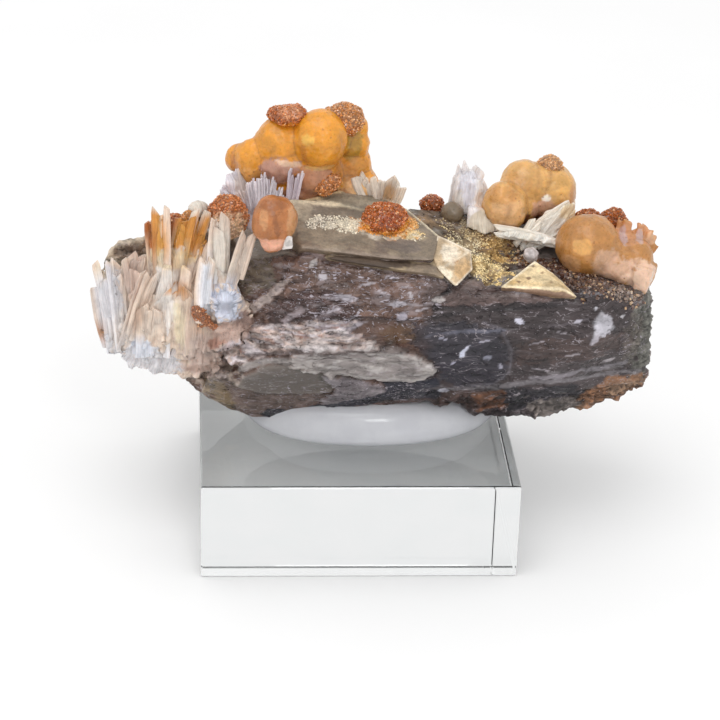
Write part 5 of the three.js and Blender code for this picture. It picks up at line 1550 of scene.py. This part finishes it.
def gel_pad(finish):
    """A soft oval pad with a rolled rim, pressed up around the foot of the rock."""
    profile = [(0, 0), (0.97, 0), (1.0, 0.015), (1.03, 0.1), (1.035, 0.2), (1.02, 0.38), (0.99, 0.56),
               (0.93, 0.74), (0.84, 0.88), (0.7, 0.96), (0.5, 1.0), (0, 1.0)]
    turns = 96
    points = [(0, 0, 0)]
    for out, up in profile[1:-1]:
        for turn in range(turns):
            angle = math.tau * turn / turns
            wobble = 1 + 0.012 * math.sin(3 * angle + 1) + 0.008 * math.sin(5 * angle)
            points.append((out * wobble * math.cos(angle), out * wobble * math.sin(angle), up))
    points.append((0, 0, 1))
    faces = []
    rings = len(profile) - 2
    for k in range(turns):
        after = (k + 1) % turns
        faces.append((0, 1 + after, 1 + k))
        last = 1 + (rings - 1) * turns
        faces.append((last + k, last + after, len(points) - 1))
        for ring in range(rings - 1):
            a = 1 + ring * turns
            faces.append((a + k, a + after, a + turns + after, a + turns + k))
    size = np.array((GEL_HALF_WIDTH, GEL_HALF_DEPTH, GEL_HEIGHT))
    pad = new_piece("pad", np.array(points) * size + (GEL_CENTRE_X, 0, BLOCK_HEIGHT + 0.02), faces)
    shade_smooth(pad)
    return finished(pad, "gel_pad", ["mounting_gel"], finish)


# Making the pieces

rock = fluorite_rock(smoky_fluorite())
PLATE_FINISH = cleavage_plate()
plates = roof_plates(PLATE_FINISH)
beige_crystals(PLATE_FINISH)
WAX = waxy_smithsonite()
smithsonite("peak_balls", "smithsonite_peak", PEAK_BALLS, (222, 149, 42), PEAK_STAINS, WAX, deep=0.4,
            soft=60, grow=0.5)
smithsonite("front_bud", "smithsonite_front_bud", FRONT_BUD, (180, 114, 62), BUD_STAINS_AND_HIGHLIGHT, WAX, deep=0.1)
smithsonite("right_balls", "smithsonite_right", RIGHT_BALLS, (216, 166, 100), RIGHT_STAINS_AND_HIGHLIGHT, WAX, deep=0.25,
            soft=40, grow=0.4)
crest = laths_piece("crest", bundle(FAR_CREST, 2, np.random.default_rng(15), spread=0.3, thin=1.0))
block_end = sharp_slab(FAR_BLOCK, "block", out=0.05, cell=0.8, wear=0.1)
smithsonite("far_right_balls", "smithsonite_far_right", FAR_BALLS, (186, 130, 70), FAR_STAINS, WAX,
            (block_end, crest), deep=0.2, soft=60, grow=0.5)
smithsonite("grey_bud", "smithsonite_grey_bud", [[15.2, 4.6, 49.8, 1.8, 1.6, 1.5]], (124, 108, 88), [], WAX)
SPARKLE = sparkling_druse()
for order, (node, mounds, colour, stains) in enumerate(DRUSES):
    druse(node, mounds, colour, stains, SPARKLE, 1.3 + order)
SILK = silky_barite()
blade_fan(SILK)
lath_group("barite_blades_right", RIGHT_BLADES, 11, (242, 234, 232), RIGHT_BLADE_STAINS, SILK,
           root={"voxel": 0.28, "lean": 0.15}, spread=0.3, thin=1.0)
lath_group("barite_plates_right", RIGHT_PLATES, 5, (254, 242, 226), RIGHT_PLATE_STAINS, SILK,
           root={"voxel": 0.25, "lean": 0.9, "rough": 0.3}, spread=0.8, thin=0.9)
lath_group("barite_roof_fragment", ROOF_SHARDS, 8, (236, 218, 200), ROOF_SHARD_STAINS, SILK,
           root={"voxel": 0.22, "lean": 0.1}, spread=0.3, thin=1.2, lump=1.0)
comb(SILK)
SUGAR = sugary_crust()
crust([rock, plates], "roof_crust", CRUST_SPOTS, SUGAR, per_mm=42, width=0.21, seed=3, clump=0.7)
crust([rock], "valley_crust", VALLEY_SPOTS, SUGAR, per_mm=26, width=0.21, seed=4, clump=0.85)
crust([rock], "dark_crust", DARK_SPOTS, SPARKLE, per_mm=7, width=0.42, seed=5)
small_crystal(clear_crystal("clear_knob", (240, 230, 228), clearness=0.25))
white_chip(clear_crystal("white_flake", (244, 236, 230), clearness=0.15))
gel_pad(milky_gel())
acrylic_block(polished_acrylic())


# Studio

def pale_floor():
    finish = Finish("pale_floor")
    paper = finish.mottle(60.0, 2, 0.5)
    tint = finish.mixed(finish.between(paper, 0.3, 0.7), rgb(250, 250, 250), rgb(248, 248, 248))
    below = -0.05 * MM
    half = 4
    corners = [(-half, -half, below), (half, -half, below), (half, half, below), (-half, half, below)]
    floor = new_piece("floor", corners, [(0, 1, 2, 3)])
    floor.data.materials.append(finish.surface(Base_Color=tint, Roughness=0.9, Specular_IOR_Level=0.1))


def soft_light(name, place, target, size, watts):
    lamp = bpy.data.lights.new(name, "AREA")
    lamp.energy, lamp.size = watts, size
    light = placed(name, lamp)
    light.location = place
    light.rotation_euler = (Vector(target) - Vector(place)).to_track_quat("-Z", "Y").to_euler()


def photo_camera():
    yaw, pitch, roll = (math.radians(angle) for angle in (CAMERA_YAW, CAMERA_PITCH, CAMERA_ROLL))
    ahead = Vector((math.sin(yaw) * math.cos(pitch), math.cos(yaw) * math.cos(pitch), -math.sin(pitch)))
    right = Vector((math.cos(yaw), -math.sin(yaw), 0))
    up = right.cross(ahead)
    across = right * math.cos(roll) + up * math.sin(roll)
    upright = -right * math.sin(roll) + up * math.cos(roll)
    view = bpy.data.cameras.new("photo_camera")
    view.lens, view.sensor_width = CAMERA_LENS, 36
    view.clip_start, view.clip_end = 0.01, 20
    camera = placed("photo_camera", view)
    turned = Matrix((across, upright, -ahead)).transposed().to_4x4()
    camera.matrix_world = Matrix.Translation(CAMERA_AT) @ turned
    bpy.context.scene.camera = camera


pale_floor()
soft_light("overhead_softbox", (-0.12, -0.2, 0.75), (0, 0, 0.03), 0.5, 1.5)
soft_light("front_softbox", (0.1, -0.65, 0.5), (0, 0, 0.035), 0.16, 0.6)
world = bpy.data.worlds.new("white_studio")
world.use_nodes = True
world.node_tree.nodes["Background"].inputs["Color"].default_value = (1, 1, 1, 1)
world.node_tree.nodes["Background"].inputs["Strength"].default_value = 0.88
bpy.context.scene.world = world
bpy.context.scene.view_settings.view_transform = "Standard"
photo_camera()
